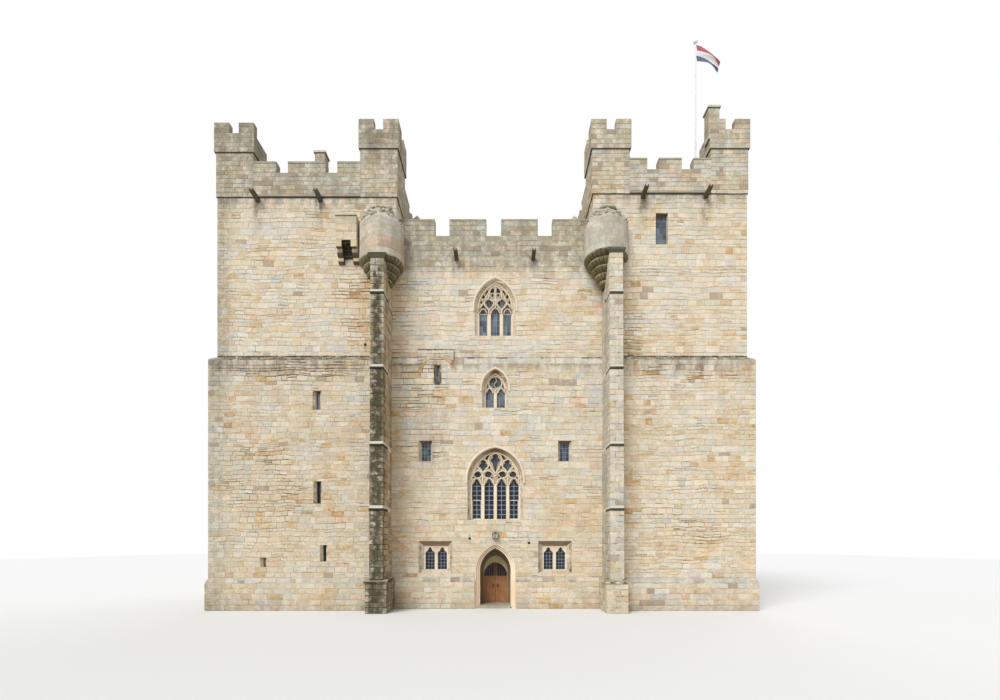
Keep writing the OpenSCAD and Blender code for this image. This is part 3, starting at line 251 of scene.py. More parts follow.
def facing_stone(name, spread=1.0, base=0.7):
    """Each stone's warmth, tone, seed and oddness are in the attribute stone, and wear holds soot, lichen,
    moss and where its edges are; in a few places its soot and moss are painted shade."""
    s = Shader(name)
    (stone, _, _, odd), (wear, _, _, edge) = [s.add("Attribute", None, attribute_name=n) for n in ("stone", "wear")]
    warm, tone, seed = s.add("SeparateColor", None, {0: stone})
    soot, lichen, moss = s.add("SeparateColor", None, {0: wear})
    x, y, z = s.xyz
    # stains and beds lie flat, so they run wider than high
    flat = s.join(x, y, z * 2.3)
    moved = s.add("VectorMath", 0, {0: flat, 1: s.join(seed * 41.0, seed * 17.0, seed * 29.0)})
    stain = (s.noise(flat, 1.15, 5.0, 0.62) - 0.5) * (0.85 * spread)
    inner = (s.noise(moved, 3.6, 4.0, 0.62) - 0.5) * (0.72 * spread)
    patches = (s.noise(flat, 3.3, 4.0, 0.62) - 0.5) * 0.62
    # some stones lean to pink or green, odd ones are rose or dark; then rusty seams, pale bloom, and brown rims of
    # dirt and painted shade
    colour = s.layers(
        s.ramp((warm + patches) + (stain + inner), WARMTH),
        (s.band(seed, 0.62, 0.95), 0.34, (0.79, 0.6, 0.49)),
        (1.0 - s.band(seed, 0.05, 0.35), 0.34, (0.64, 0.62, 0.41)),
        (s.band(odd, 0.25, 0.45), 0.45, (0.72, 0.47, 0.36)),
        (s.band(odd, 0.7, 0.9), 0.6, (0.33, 0.265, 0.18)),
        (s.band(s.streaks(1.5, 10.0, 4.0, 0.6), 0.57, 0.7), 0.28, (0.64, 0.4, 0.19)),
        (s.patch(4.5, 5.0, 0.7, 0.5, 0.72), 0.4, (0.82, 0.785, 0.69)),
        # brown rims at the edges, most at the foot: dirt and painted shade
        (edge * s.band(s.noise(flat, 2.1, 4.0, 0.6), 0.46, 0.64), 0.5, (0.26, 0.17, 0.09)))
    grain = s.noise(s.place, 30.0, 5.0, 0.7)
    light = (s.noise(s.place, 10.0, 5.0, 0.75) - 0.5) * 0.62 + (tone * 0.16 + grain * 0.36) + base
    return s.finish(weathered(s, s.lit(colour, light), soot, lichen, moss), grain * 0.12 + 0.84, 0.2,
                    s.noise(moved, 6.0, 6.0, 0.68) * 0.8 + grain * 0.35, 0.03, 0.9)


def facing(s):
    """The normal's three shares and the place, y without its sign, for masks by which way a face looks."""
    x, y, z = s.xyz
    return *s.split(s.add("NewGeometry", "Normal")), x, abs(y), z


def block_grid(s, height, length):
    """Random tone and joint mask of blocks laid in courses, for faces along x or y and for floors."""
    x, y, z = s.xyz
    level = abs(facing(s)[2]) > 0.6
    upright = 1.0 - level
    along, z = x + y * upright, z * upright + y * level
    row = s.math("FLOOR", z / height)
    u = along / length + s.add("TexWhiteNoise", 0, {"W": row}, noise_dimensions="1D") * 3.0
    cell = s.add("TexWhiteNoise", 0, {"Vector": s.join(s.math("FLOOR", u), row, 0.0)}, noise_dimensions="2D")
    fu, fz = [abs(s.math("FRACT", v) - 0.5) for v in (u, z / height)]
    return cell, s.most(s.band(fu, 0.5 - 0.016 / length, 0.5 - 0.004 / length),
                        s.band(fz, 0.5 - 0.014 / height, 0.5 - 0.004 / height))


def plain_stone(name, colours, soot=0.0, lichen=0.0, moss=0.0, blocks=None, extra=None):
    """Dressed or backing stone on a CAD node, its variation by place alone; extra(s, colour) goes over it."""
    s = Shader(name)
    fine, grain = s.noise(s.place, 7.5, 6.0, 0.68), s.noise(s.place, 42.0, 4.0, 0.7)
    pick, height = s.noise(s.place, 0.9, 4.0, 0.6) * 0.6 + fine * 0.4, fine * 0.7 + grain * 0.3
    if blocks:
        cell, joint = block_grid(s, *blocks)
        pick, height = pick * 0.5 + cell * 0.5, height - joint
    colour = s.lit(s.ramp(pick, colours), grain * 0.24 + 0.88)
    if blocks:
        colour = s.layers(colour, (joint, 0.55, (0.24, 0.2, 0.15)))
    colour = weathered(s, colour, soot, lichen, moss)
    return s.finish(extra(s, colour) if extra else colour, 0.88, 0.25, height, 0.01, 0.8)


def soffits(s, colour):
    """Painted shade on what faces down, brown and darkest on level heads."""
    down = facing(s)[2] * -1.0
    return s.layers(colour, (s.band(down, 0.08, 0.45), 0.5, (0.33, 0.235, 0.135)),
                    (s.band(down, 0.62, 0.85), 0.92, (0.15, 0.078, 0.034)))


def joints_outside(s, colour):
    """Dark joints where the facing stones stand in front of the wall; reveals and rooms keep their stone."""
    nx, ny, nz, x, y, z = facing(s)
    front, side = (abs(ny) > 0.5) * (y > 5.8), (abs(nx) > 0.5) * (abs(x) > 14.0)
    deep = 0.0
    for cx, cz, rx, rz, depth in BROKEN:
        u, v = (x - cx) / rx, (z - cz) / rz
        deep = s.most((1.0 - s.band(u * u + v * v, 0.2, 1.2)) * depth, deep)
    level = s.noise(s.join(x, y, z * 2.3), 0.9, 4.0, 0.62) * 0.45 + s.noise(s.place, 3.2, 5.0, 0.72) * 0.55
    joint = s.ramp(level - deep * 0.15, MORTAR)
    # putlog holes painted near black: painted shade in their depth
    for px, pz in PUTLOGS:
        joint = s.mix(s.most(abs(x - px), abs(z - pz)) < 0.062, joint, (0.012, 0.009, 0.007))
    return soffits(s, s.mix(s.most(front, side), colour, joint))


def porch(s, colour):
    """Painted shade on the porch's sides and high under its vault."""
    nx, ny, nz, x, y, z = facing(s)
    u, v = abs(x - X_AXIS) / 0.8, s.most(z - 1.95, 0.0) / 1.05
    dark = s.most(s.band(abs(nx), 0.75, 0.95), s.band(u * u + v * v, 0.62, 0.8))
    return soffits(s, s.layers(colour, (dark, 0.72, (0.075, 0.06, 0.036))))


def orders(s, colour):
    """Painted shade in the hollows between the door arch's orders, and orange stone low down."""
    x, y, z = s.xyz
    across, rise = abs(x - X_AXIS) + (DOOR_R - 0.825), s.most(z - 2.05, 0.0)
    away = s.math("SQRT", across * across + rise * rise) - DOOR_R
    lines = [(1.0 - s.band(abs(away - at), 0.006, 0.022), depth, (0.17, 0.11, 0.06))
             for at, depth in ((0.008, 0.8), (0.095, 0.18), (0.185, 0.2), (0.272, 0.36))]
    low = (1.0 - s.band(z, 1.2, 2.2)) * s.patch(2.0, 4.0, 0.55, 0.35, 0.6)
    return soffits(s, s.layers(colour, *lines, (low, 0.45, (0.82, 0.56, 0.3))))


def tracery_plate(s, colour):
    """Painted shade on the sunk plate between the ribs, in the window heads."""
    ny, z = facing(s)[1], s.xyz[2]
    heads = s.most((z > 6.78) * (z < 9.0), s.most((z > 11.8) * (z < 13.0), z > 16.12))
    shade = s.ramp(s.noise(s.place, 6.0, 4.0, 0.6), stops((0.13, 0.1, 0.065), (0.3, 0.245, 0.17), at=(0.35, 0.65)))
    return soffits(s, s.layers(colour, (heads * (abs(ny) > 0.9), 0.62, shade)))


def box_openings(s, colour):
    """The corbelled box: painted black shade in its opening, painted shade on undersides, and lichen at the top."""
    nx, ny, nz, x, y, z = facing(s)
    opening = (z < 19.31) * ((y < 7.06) * (y > 6.46)) * ((x > -7.3) * (x < -6.79))
    return s.layers(colour, (opening, 0.92, (0.03, 0.02, 0.01)),
                    (s.band(nz * -1.0, 0.1, 0.5), 0.9, (0.06, 0.034, 0.014)),
                    (s.band(z, 20.0, 20.5) * s.patch(3.0, 5.0, 0.7, 0.4, 0.6), 0.5, (0.4, 0.39, 0.31)))


def ledges(s, colour):
    """Moss on what faces up, and painted shade on undersides."""
    nz = facing(s)[2]
    return s.layers(colour, (s.band(nz, 0.25, 0.6) * s.patch(3.5, 5.0, 0.7, 0.38, 0.6), 0.7, (0.115, 0.125, 0.045)),
                    (s.band(nz * -1.0, 0.2, 0.6), 0.9, (0.045, 0.034, 0.022)))


def buttress_joints(s, colour):
    """The left buttress is stained dark between its stones, the right one is clean."""
    nx, ny, nz, x, y, z = facing(s)
    joint = s.ramp(s.noise(s.place, 3.0, 4.0, 0.6) * (1.0 - (x < 0.0) * 0.45), MORTAR)
    colour = ledges(s, s.mix(abs(nz) < 0.2, colour, joint))
    # the offsets get painted light on top and painted shade below; the cap under the turret is dark olive, moss with
    # painted shade
    for top in BUTTRESS_OFFSETS:
        rise = z - top
        colour = s.layers(colour, (s.band(rise, -0.14, -0.11) * (rise < 0.03), 0.8, (0.64, 0.63, 0.53)),
                          ((rise < -0.13) * (rise > -0.26), 0.9, (0.03, 0.024, 0.014)))
    return s.layers(colour, (z > 18.02 + (x > 0.0) * 0.27, 0.88, (0.07, 0.064, 0.03)))


def string_line(s, colour):
    """The string under the wing parapets gets a black band of painted shade in its lower part."""
    x, y, z = s.xyz
    rise = z - (WING_TOP + (x > 0.0) * (RIGHT_TOP - WING_TOP))
    low = (1.0 - s.band(rise, 0.035, 0.075)) * (rise > -0.01)
    return ledges(s, s.layers(colour, (low, 0.88, (0.06, 0.045, 0.028))))


def ring_blocks(s, colour):
    """Corbel rings: radial joints, painted light on the upper edges and painted shade in the hollows."""
    nx, ny, nz, x, y, z = facing(s)
    (left_x, left_z, _), (right_x, right_z, _) = DRUMS
    right = x > 0.0
    level = (z - (left_z - 5 * RING_H + right * (right_z - left_z))) / RING_H
    ring, part = s.math("FLOOR", level), s.math("FRACT", level)
    angle = s.math("ARCTAN2", y - -DRUM_Y, x - (left_x + right * (right_x - left_x)))
    cell = s.math("FRACT", angle * (2.4 + ring * 0.55) + ring * 0.43)
    below = level < 5.0
    return s.layers(colour, (s.band(abs(cell - 0.5), 0.38, 0.45) * below, 0.85, (0.035, 0.026, 0.017)),
                    (s.band(part, 0.8, 0.92) * below * s.patch(2.2, 4.0, 0.6, 0.34, 0.6), 0.6, (0.56, 0.49, 0.33)),
                    ((1.0 - s.band(part, 0.08, 0.42)) * below, 0.9, (0.032, 0.024, 0.015)))


def wood():
    s = Shader("oiled oak")
    fibre = s.streaks(26.0, 1.6, 6.0, 0.65)
    colour = s.ramp(fibre * 0.7 + s.noise(s.place, 3.0, 3.0, 0.5) * 0.3, OAK)
    colour = s.layers(colour, (s.band(s.xyz[2], 1.66, 1.74), 0.72, (0.05, 0.024, 0.014)))
    return s.finish(colour, fibre * 0.2 + 0.45, 0.4, fibre, 0.002, 0.6)


def iron():
    s = Shader("dark iron")
    rust = s.patch(14.0, 5.0, 0.7, 0.5, 0.72)
    return s.finish(s.mix(rust * 0.45, (0.045, 0.045, 0.047), (0.15, 0.075, 0.04)), rust * 0.3 + 0.45, 0.5,
                    s.noise(s.place, 60.0, 3.0), 0.001, 0.6)


def painted(name, light, dark):
    s = Shader(name)
    streak = s.streaks(30.0, 3.0)
    return s.finish(s.mix(s.band(streak, 0.45, 0.75), light, dark), streak * 0.2 + 0.35, 0.4, streak, 0.001, 0.4)


def glass(name, dark, light, upper=False):
    """Old window glass, pane by pane; the upper windows get a painted reflection of the sky."""
    s = Shader(name)
    pane = s.add("VectorMath", 0, {0: s.place, 1: (0.19, 0.5, 0.31)}, operation="SNAP")
    wave = s.noise(s.place, 5.0, 2.0)
    amount = s.add("TexWhiteNoise", 0, {"Vector": pane}, noise_dimensions="3D") * 0.7 + wave * 0.3
    colour = s.mix(amount, dark, light)
    if upper:
        # a painted sky reflection: full above 10.6 m, faint above 7.2 m
        z = s.xyz[2]
        sky = s.ramp(amount, stops((0.07, 0.085, 0.105), (0.19, 0.225, 0.265), at=(0.25, 0.75)))
        colour = s.mix(s.most(s.band(z, 9.4, 10.6), s.band(z, 6.9, 7.2) * 0.45), colour, sky)
    return s.finish(colour, 0.22, 0.25, wave, 0.004, 0.5)


def cloth():
    s = Shader("flag cloth")
    u, v, _ = s.split(s.add("Attribute", "Vector", attribute_name="cut"))
    stripe = s.ramp(v, stops((0.42, 0.03, 0.07), (0.78, 0.77, 0.74), (0.045, 0.055, 0.19), at=(0.0, 0.34, 0.66)),
                    "CONSTANT")
    s.put(s.bsdf.inputs["Sheen Weight"], 0.3)
    return s.finish(s.mix(s.noise(s.place, 9.0, 3.0) * 0.25, stripe, (0.62, 0.6, 0.58)), 0.85, 0.2,
                    s.math("SINE", u * 900.0) * s.math("SINE", v * 900.0), 0.0006, 0.5)


M = {
    "facing": facing_stone("facing stone"),
    "drum": facing_stone("drum stone", 0.8, 0.655),
    "wall": plain_stone("wall stone", PALE, soot=0.12, blocks=(0.27, 0.55), extra=joints_outside),
    "pale": plain_stone("dressed stone", PALE, soot=0.22, extra=ledges),
    "warm": plain_stone("door stone", WARM, soot=0.03, extra=orders),
    "trace": plain_stone("tracery stone", TRACE, soot=0.08, extra=tracery_plate),
    "hood": plain_stone("hood stone", HOOD, soot=0.04, lichen=0.1),
    "rib": plain_stone("rib stone", TRACE, soot=0.05),
    "box": plain_stone("box stone", BOX, soot=0.1, lichen=0.2, extra=box_openings),
    "grey": plain_stone("lichened stone", GREYISH, soot=0.35, lichen=0.7, extra=ledges),
    "string": plain_stone("parapet stone", GREYISH, soot=0.35, lichen=0.7, extra=string_line),
    "buttress": plain_stone("buttress stone", GREYISH, soot=0.3, lichen=0.4, extra=buttress_joints),
    "step": plain_stone("step stone", GREYISH, soot=0.2),
    "rings": plain_stone("corbel stone", BROWNISH, soot=0.3, lichen=0.3, extra=ring_blocks),
    "brown": plain_stone("porch stone", PORCH, soot=0.15, extra=porch),
    "spout": plain_stone("spout stone", SPOUT, soot=0.5, moss=0.4),
    "flags": plain_stone("roof flags", FLAGS, soot=0.2, lichen=0.4, blocks=(0.31, 0.8)),
    "wood": wood(),
    "iron": iron(),
    "white": painted("white paint", (0.8, 0.8, 0.78), (0.62, 0.61, 0.57)),
    "frame": painted("leaded bars", (0.3, 0.37, 0.44), (0.17, 0.21, 0.26)),
    "casement": painted("pale casements", (0.74, 0.7, 0.64), (0.54, 0.51, 0.46)),
    "glass": glass("window glass", (0.006, 0.007, 0.009), (0.03, 0.038, 0.05), True),
    "door glass": glass("door glass", (0.006, 0.005, 0.005), (0.022, 0.02, 0.02)),
    "pane": painted("lamp pane", (0.36, 0.38, 0.34), (0.16, 0.17, 0.14)),
    "cloth": cloth(),
}

# The look of each CAD node that isn't plain wall
CAD_LOOK = {
    "flags": "ground_floor first_floor second_floor third_floor fourth_floor roofs",
    "grey": "block_parapet",
    "step": "threshold",
    "box": "corbelled_box",
    "string": "left_wing_parapet right_wing_parapet left_wing_turrets right_wing_turrets",
    "buttress": "buttresses",
    "pale": "chimneys",
    "trace": "hall_tracery second_tracery third_tracery ground_tracery",
    "hood": "hood_moulds",
    "warm": "door_jambs door_arch",
    "rings": "corner_turrets",
    "brown": "inner_door_arch",
    "spout": "water_spouts",
    "white": "flagpole",
    "iron": "door_pins lantern",
    "wood": "left_door right_door",
    "glass": "block_glass wing_glass",
    "door glass": "left_door_glass right_door_glass",
    "cloth": "flag",
}
look_of = {node: key for key, names in CAD_LOOK.items() for node in names.split()}
for name, thing in nodes.items():
    material = M[look_of.get(name, "wall")]
    if not thing.material_slots:
        thing.data.materials.append(material)
    for place in thing.material_slots:
        place.material = material


def new_object(name, data):
    made = bpy.data.objects.new(name, data)
    bpy.context.scene.collection.objects.link(made)
    return made


# ---------------------------------------------------------------- stones

def smooth(value, low, high):
    t = max(0.0, min(1.0, (value - low) / (high - low)))
    return t * t * (3 - 2 * t)


def near(value, places, reach):
    """1 at any of the places, falling to 0 at the reach."""
    return max(1 - smooth(abs(value - p), 0.0, reach) for p in places)


def field(x, y, z, size, shift=0.0):
    """A soft field from about -0.5 to 0.5 that runs wider than high."""
    return noise.noise(Vector((x * size + shift, y * size, z * size * 1.7)))


def worn(x, y, z):
    """How broken the edges are at a place."""
    deep = max(d * (1 - smooth(((x - cx) / rx) ** 2 + ((z - cz) / rz) ** 2, 0.2, 1.2))
               for cx, cz, rx, rz, d in BROKEN)
    return max(0.0, min(1.0, 0.16 + 1.3 * field(x, y, z, 0.8, 3.0) + 0.75 * deep))


def dim(x, y, z):
    """How much darker the stones are than elsewhere."""
    low = 1 - smooth(z, 12.9, 13.5)
    return (0.66 if x < -5.8 else 0.26) * low + 0.22 * (x < -5.8) * (1 - low)


def steady(value):
    """A place that may change with height, as a function of height."""
    return value if callable(value) else lambda z: value


def sloped(band, a, b):
    """Runs from a to b over a band of height."""
    return lambda z: a + (b - a) * (z - band[0]) / (band[1] - band[0])


def front_at(y):
    """A face to the front; each face maps along, up and out to x, y and z."""
    y = steady(y)
    return lambda u, v, d: (u, y(v) - d, v)


def side_at(x, sign):
    x = steady(x)
    return lambda u, v, d: (x(v) + sign * d, u, v)


def back_of(at):
    """The same face mirrored to the back."""
    def mirrored(u, v, d):
        x, y, z = at(u, v, d)
        return x, -y, z
    return mirrored


def prism(n):
    """Faces of n pieces of a bar with six corners, and its ends."""
    k = 6 * n
    sides = [(6 * i + j, 6 * i + (j + 1) % 6, 6 * i + 6 + (j + 1) % 6, 6 * i + 6 + j)
             for i in range(n) for j in range(6)]
    return sides + [(0, 5, 4, 1), (1, 4, 3, 2), (k, k + 1, k + 4, k + 5), (k + 1, k + 2, k + 3, k + 4)]


def courses(zs):
    return enumerate(zip(zs, zs[1:]))


class Pile:
    """Closed stones with chamfered, broken edges, gathered into one mesh. Each kind of stone is a pair: its colour
    and its wear at a place, which for a few kinds is painted shade. A back pile mirrors the walls and blocks that it
    is given."""

    def __init__(self, name, back=False):
        self.name, self.back = name, back
        self.verts, self.faces, self.stone_data, self.wear_data = [], [], [], []

    def shape(self, points, faces, kind, middle=(0.0, 0.0, 0.0), edges=None):
        (warmth, odd), start = kind[0](*middle), len(self.verts)
        self.verts.extend(points)
        self.faces.extend([tuple(start + i for i in f) for f in faces])
        self.stone_data.extend([(warmth, rng.random() - dim(*points[0]), rng.random(), odd)] * len(points))
        self.wear_data.extend([(*kind[1](*p), e) for p, e in zip(points, edges or [0.0] * len(points))])

    def slab(self, at, left, right, low, high, kind, parts=1, proud=0.016, gap=0.008, rough=1.0, drift=None):
        """A stone between two ends, each given at its foot and head, on the surface at(u, v, out)."""
        middle = at((sum(left) + sum(right)) / 4, (low + high) / 2, 0.0)
        wear_here = worn(*middle) * rough
        side, foot, head = [gap * rng.uniform(0.3, 1.1) + 0.006 * wear_here * rng.random() for _ in range(3)]
        side *= 0.7
        foot += 0.026 * wear_here * rng.random() ** 2
        lb, lt, rb, rt = left[0] + side, left[1] + side, right[0] - gap / 3, right[1] - gap / 3
        v0, v1 = low + foot * 0.8, high - head * 0.6
        if v1 - v0 < 0.03 or rb - lb + rt - lt < 0.06:
            return
        if rb - lb < 0.02:
            lb = rb = (lb + rb) / 2
        if rt - lt < 0.02:
            lt = rt = (lt + rt) / 2
        c = min(rng.uniform(0.006, 0.013) * rough + 0.014 * wear_here, (v1 - v0) / 4, (rb - lb + rt - lt) / 8)
        out = proud * (0.6 + 0.5 * wear_here) + rng.uniform(-0.005, 0.007) * rough
        lean = [rng.uniform(-0.004, 0.004) * rough for _ in range(4)]
        ripple = (0.003 + 0.02 * wear_here) * rough
        points = []
        for i in range(parts + 1):
            t = i / parts
            inset = c if i == 0 else -c if i == parts else 0.0
            b, a = lb + (rb - lb) * t, lt + (rt - lt) * t
            db, dt = [out + lean[k] * (1 - t) + lean[k + 1] * t for k in (0, 2)]
            vb, vt = v0 + ripple * rng.random(), v1 - ripple * rng.random()
            if drift:
                vb, vt = vb + drift(b, low), vt + drift(a, high)
            bi, ai = b + (inset if rb - lb > 3 * c else 0), a + (inset if rt - lt > 3 * c else 0)
            points += [at(b, vb, -0.02), at(b, vb, db - c * 0.9), at(bi, vb + c * 1.2, db),
                       at(ai, vt - c, dt), at(a, vt, dt - c * 0.7), at(a, vt, -0.02)]
        # edge marks: full at the foot, less at the head, for the brown rims of dirt and painted shade
        self.shape(points, prism(parts), kind, middle, [1.0, 1.0, 0.0, 0.0, 0.6, 0.6] * (parts + 1))

    def block(self, xs, ys, zs, kind, chamfer=0.018, gap=0.012):
        """A quoin: a box with all its edges cut."""
        (x0, x1), (y0, y1), (z0, z1) = xs, (-ys[1], -ys[0]) if self.back else ys, zs
        z0, z1 = z0 + gap * rng.uniform(0.3, 0.8), z1 - gap * rng.uniform(0.2, 0.6)
        c = min(chamfer * rng.uniform(0.8, 1.5), (z1 - z0) / 4, (x1 - x0) / 4, (y1 - y0) / 4)
        points, index = [], {}
        for corner in range(8):
            sx, sy, sz = corner & 1, corner >> 1 & 1, corner >> 2 & 1
            px, py, pz = (x0, x1)[sx], (y0, y1)[sy], (z0, z1)[sz]
            qx, qy, qz = px + c * (1, -1)[sx], py + c * (1, -1)[sy], pz + c * (1, -1)[sz]
            for axis, p in enumerate(((px, qy, qz), (qx, py, qz), (qx, qy, pz))):
                index[corner, axis] = len(points)
                points.append(p)
        faces = [tuple(index[corner, axis] for axis in range(3)) for corner in range(8)]
        for axis in range(3):
            n, m = (axis + 1) % 3, (axis + 2) % 3
            a, b, far = 1 << n, 1 << m, 1 << axis
            for side in (0, far):
                faces.append(tuple(index[side | k, axis] for k in (0, a, a | b, b)))
            for k in (0, a, b, a | b):
                faces.append((index[k, n], index[k | far, n], index[k | far, m], index[k, m]))
        self.shape(points, faces, kind, ((x0 + x1) / 2, (y0 + y1) / 2, (z0 + z1) / 2), [0.0, 0.0, 0.7] * 8)

    def face(self, at):
        return back_of(at) if self.back else at

    def wall(self, at, span, zs, kind, holes=(), ends=None, length=(0.3, 0.65), parts_of=None, proud=0.016,
             gap=0.008, rough=1.0):
        """Lays courses of stones over the span and round the holes. ends(i) gives how much quoins take at each end."""
        at, before, (u0, u1) = self.face(at), [], map(steady, span)
        high = len(zs) > 12

        def drift(u, v):
            """Beds wander a little, but not at openings, quoins, foot or head."""
            free = (smooth(v, zs[0], zs[0] + 0.6) * (1 - smooth(v, zs[-1] - 0.6, zs[-1]))
                    * smooth(min(u - u0(v), u1(v) - u), 0.5, 1.2))
            for hole in holes:
                for w in (v - 0.3, v, v + 0.3):
                    edges = hole(w)
                    if edges and edges[0] - 0.5 < u < edges[1] + 0.5:
                        return 0.0
            return free and free * (0.1 * noise.noise(Vector((u * 0.55, v * 0.8, 4.0)))
                                    + 0.05 * noise.noise(Vector((u * 1.9, v * 1.4, 9.0))))

        for i, (za, zb) in courses(zs):
            cut = ends(i) if ends else (0.0, 0.0)
            start, stop = (u0(za) + cut[0], u0(zb) + cut[0]), (u1(za) - cut[1], u1(zb) - cut[1])
            e = (zb - za) * 0.02
            gaps = []
            for hole in holes:
                a, b = hole(za + e), hole(zb - e)
                if a or b:
                    # an arch that ends in this course closes to its middle
                    a = a or b
                    gaps.append((a, b or ((a[0] + a[1]) / 2,) * 2))
            runs = []
            for a, b in sorted(gaps, key=lambda g: g[0][0]):
                runs.append((start, (a[0], b[0])))
                start = (a[1], b[1])
            joints = []
            for left, right in (*runs, (start, stop)):
                u, last, marks = max(left), min(right), [left]
                while last - max(left) > length[0] * 1.6:
                    step = rng.uniform(*length)
                    if rng.random() < 0.18:
                        step *= 0.6
                    u += step
                    for _ in range(3):
                        if any(abs(u - p) < 0.06 for p in before):
                            u += 0.08
                    if last - u < length[0] * 0.75:
                        break
                    marks.append((u, u))
                    joints.append(u)
                marks.append(right)
                for a, b in zip(marks, marks[1:]):
                    wide = max(b) - min(a)
                    parts = parts_of(wide) if parts_of else 1 + (wide > 0.34) + (wide > 0.6)
                    beds = [za, zb]
                    broken = 0.05 + 0.3 * (worn(*at((a[0] + b[0]) / 2, za, 0.0)) - 0.2)
                    if high and zb - za > 0.18 and rng.random() < broken:
                        beds.insert(1, za + (zb - za) * rng.uniform(0.35, 0.65))
                    for low, top in zip(beds, beds[1:]):
                        self.slab(at, a, b, low, top, kind, parts, proud, gap, rough, drift if high else None)
            before = joints

    def build(self, body="keep", slot="ashlar", material="facing"):
        mesh = bpy.data.meshes.new(self.name)
        mesh.from_pydata(self.verts, [], self.faces)
        if material in ("facing", "drum"):
            for key, data in (("stone", self.stone_data), ("wear", self.wear_data)):
                layer = mesh.attributes.new(key, "FLOAT_COLOR", "POINT")
                layer.data.foreach_set("color", np.array(data, np.float32).ravel())
        work = bmesh.new()
        work.from_mesh(mesh)
        bmesh.ops.recalc_face_normals(work, faces=work.faces)
        work.to_mesh(mesh)
        work.free()
        mesh.materials.append(M[material])
        made = new_object(self.name, mesh)
        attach(made, body)
        return made


def pair(name):
    """A pile for the front and one for the back."""
    return [Pile(name.format(side), side == "back") for side in ("front", "back")]


def levels(marks, height, spread=0.3):
    """Course heights between levels that must be met, such as sills and heads."""
    out = [marks[0]]
    for a, b in zip(marks, marks[1:]):
        n = max(1, round((b - a) / height))
        sizes = [1 + rng.uniform(-spread, spread) for _ in range(n)]
        total = sum(sizes)
        z = a
        for size in sizes[:-1]:
            z += (b - a) * size / total
            out.append(z)
        out.append(b)
    return out


# ---- holes: left and right edge at a height, or None

def rect_hole(u0, u1, z0, z1):
    return lambda z: (u0, u1) if z0 < z < z1 else None


def round_hole(middle, foot, r):
    def ends(z):
        w = r * r - (z - foot) ** 2
        return (middle - math.sqrt(w), middle + math.sqrt(w)) if z > foot and w > 0 else None
    return ends


def arch_hole(shape, grow):
    """A pointed arch on the axis, grown by a margin; top is the height of its point."""
    width, foot, spring, apex = shape
    half, rise = width / 2, apex - spring
    r = (half * half + rise * rise) / width

    def ends(z):
        reach = (r + grow) ** 2 - (z - spring) ** 2
        w = half + grow if z <= spring else math.sqrt(reach) - (r - half) if reach > 0 else -1
        return (X_AXIS - w, X_AXIS + w) if z >= foot and w > 0 else None
    ends.top = spring + math.sqrt((r + grow) ** 2 - (r - half) ** 2)
    return ends


def slit_hole(x, w, z0, z1):
    return rect_hole(x - w / 2 - 0.11, x + w / 2 + 0.11, z0, z1)


def putlog(x, z):
    return rect_hole(x - 0.075, x + 0.075, z - 0.15, z + 0.15)


# ---- kinds of stone: (warmth, oddness) and (soot, lichen, moss) at a place

def sorted_stone(x, y, z, base, orange, grey, pink=0.02, dark=0.015):
    """Warmth and oddness: neighbours share a patch, and a few are orange, grey, pink or dark."""
    patch = field(x, y, z, 0.42) + 0.6 * field(x, y, z, 1.3, 9.0)
    warmth = base + 0.17 * patch + rng.uniform(-0.09, 0.09)
    r = rng.random()
    if r < orange * max(0.0, 1 + 1.6 * patch):
        warmth += rng.uniform(0.12, 0.38)
    elif r > 1 - grey * max(0.0, 1 - 2.4 * patch):
        warmth -= rng.uniform(0.1, 0.24)
    r = rng.random()
    return min(max(warmth, 0.0), 1.0), 0.5 if r < pink else 1.0 if r > 1 - dark else 0.0


def wing_sort(x, y, z):
    glow = near(x, (-5.9, 7.3), 2.4) * smooth(z, 12.6, 13.8) * (1 - smooth(z, 17.0, 18.6))
    low = 1 - smooth(z, 2.0, 5.0)
    grey = 0.3 * (1 - smooth(x, -14.4, -13.3)) * (0.3 if abs(y) < 6.3 else 1.0)
    under = 0.05 * (1 - smooth(z, 12.4, 13.2))
    return sorted_stone(x, y, z, 0.385 + 0.14 * glow + 0.04 * low + under + 0.02 * (x < 0) - grey * 0.4,
                        0.075 + 0.2 * glow, 0.1 + grey, 0.014, 0.012)


def block_sort(x, y, z):
    glow = near(x, (-4.6, 6.2), 1.9) * smooth(z, 12.0, 14.0) * (1 - smooth(z, 16.8, 17.8))
    glow += 0.5 * near(x, (-4.6,), 1.2) * (1 - smooth(z, 11.0, 14.0))
    door = near(x, (X_AXIS,), 2.3) * (1 - smooth(z, 2.6, 3.6))
    low = 1 - smooth(z, 7.0, 11.0)
    return sorted_stone(x, y, z, 0.365 + 0.16 * glow + 0.06 * door + 0.08 * low - 0.08 * smooth(z, 18.2, 18.8),
                        0.055 + 0.2 * glow + 0.04 * door - 0.02 * low, 0.13 - 0.09 * low, 0.02, 0.008)


def on_block(x, z):
    """Whether a place over the walls belongs to the block's parapet."""
    return abs(x - X_AXIS) < 5.3 and z < 21.5


def parapet_sort(x, y, z):
    if on_block(x, z):
        return sorted_stone(x, y, z, 0.33, 0.03, 0.12, 0.01, 0.12)
    return sorted_stone(x, y, z, *((0.37, 0.05) if x < 0 else (0.42, 0.07)), 0.18, 0.03, 0.1)


def ledge_sort(x, y, z):
    return sorted_stone(x, y, z, 0.2, 0.03, 0.4, 0.0, 0.5)


def plinth_sort(x, y, z):
    return sorted_stone(x, y, z, *((0.2, 0.02) if z > SLOPE_Z else (0.4, 0.08)), 0.1, 0.02, 0.03)


def drum_sort(x, y, z):
    if x > 0:
        return rng.uniform(0.14, 0.3), 0.0
    band = 18.7 < z < 19.26 and x > -6.2
    return rng.uniform(0.44, 0.54) if band else rng.uniform(0.2, 0.34), 0.5 if band and rng.random() < 0.8 else 0.0


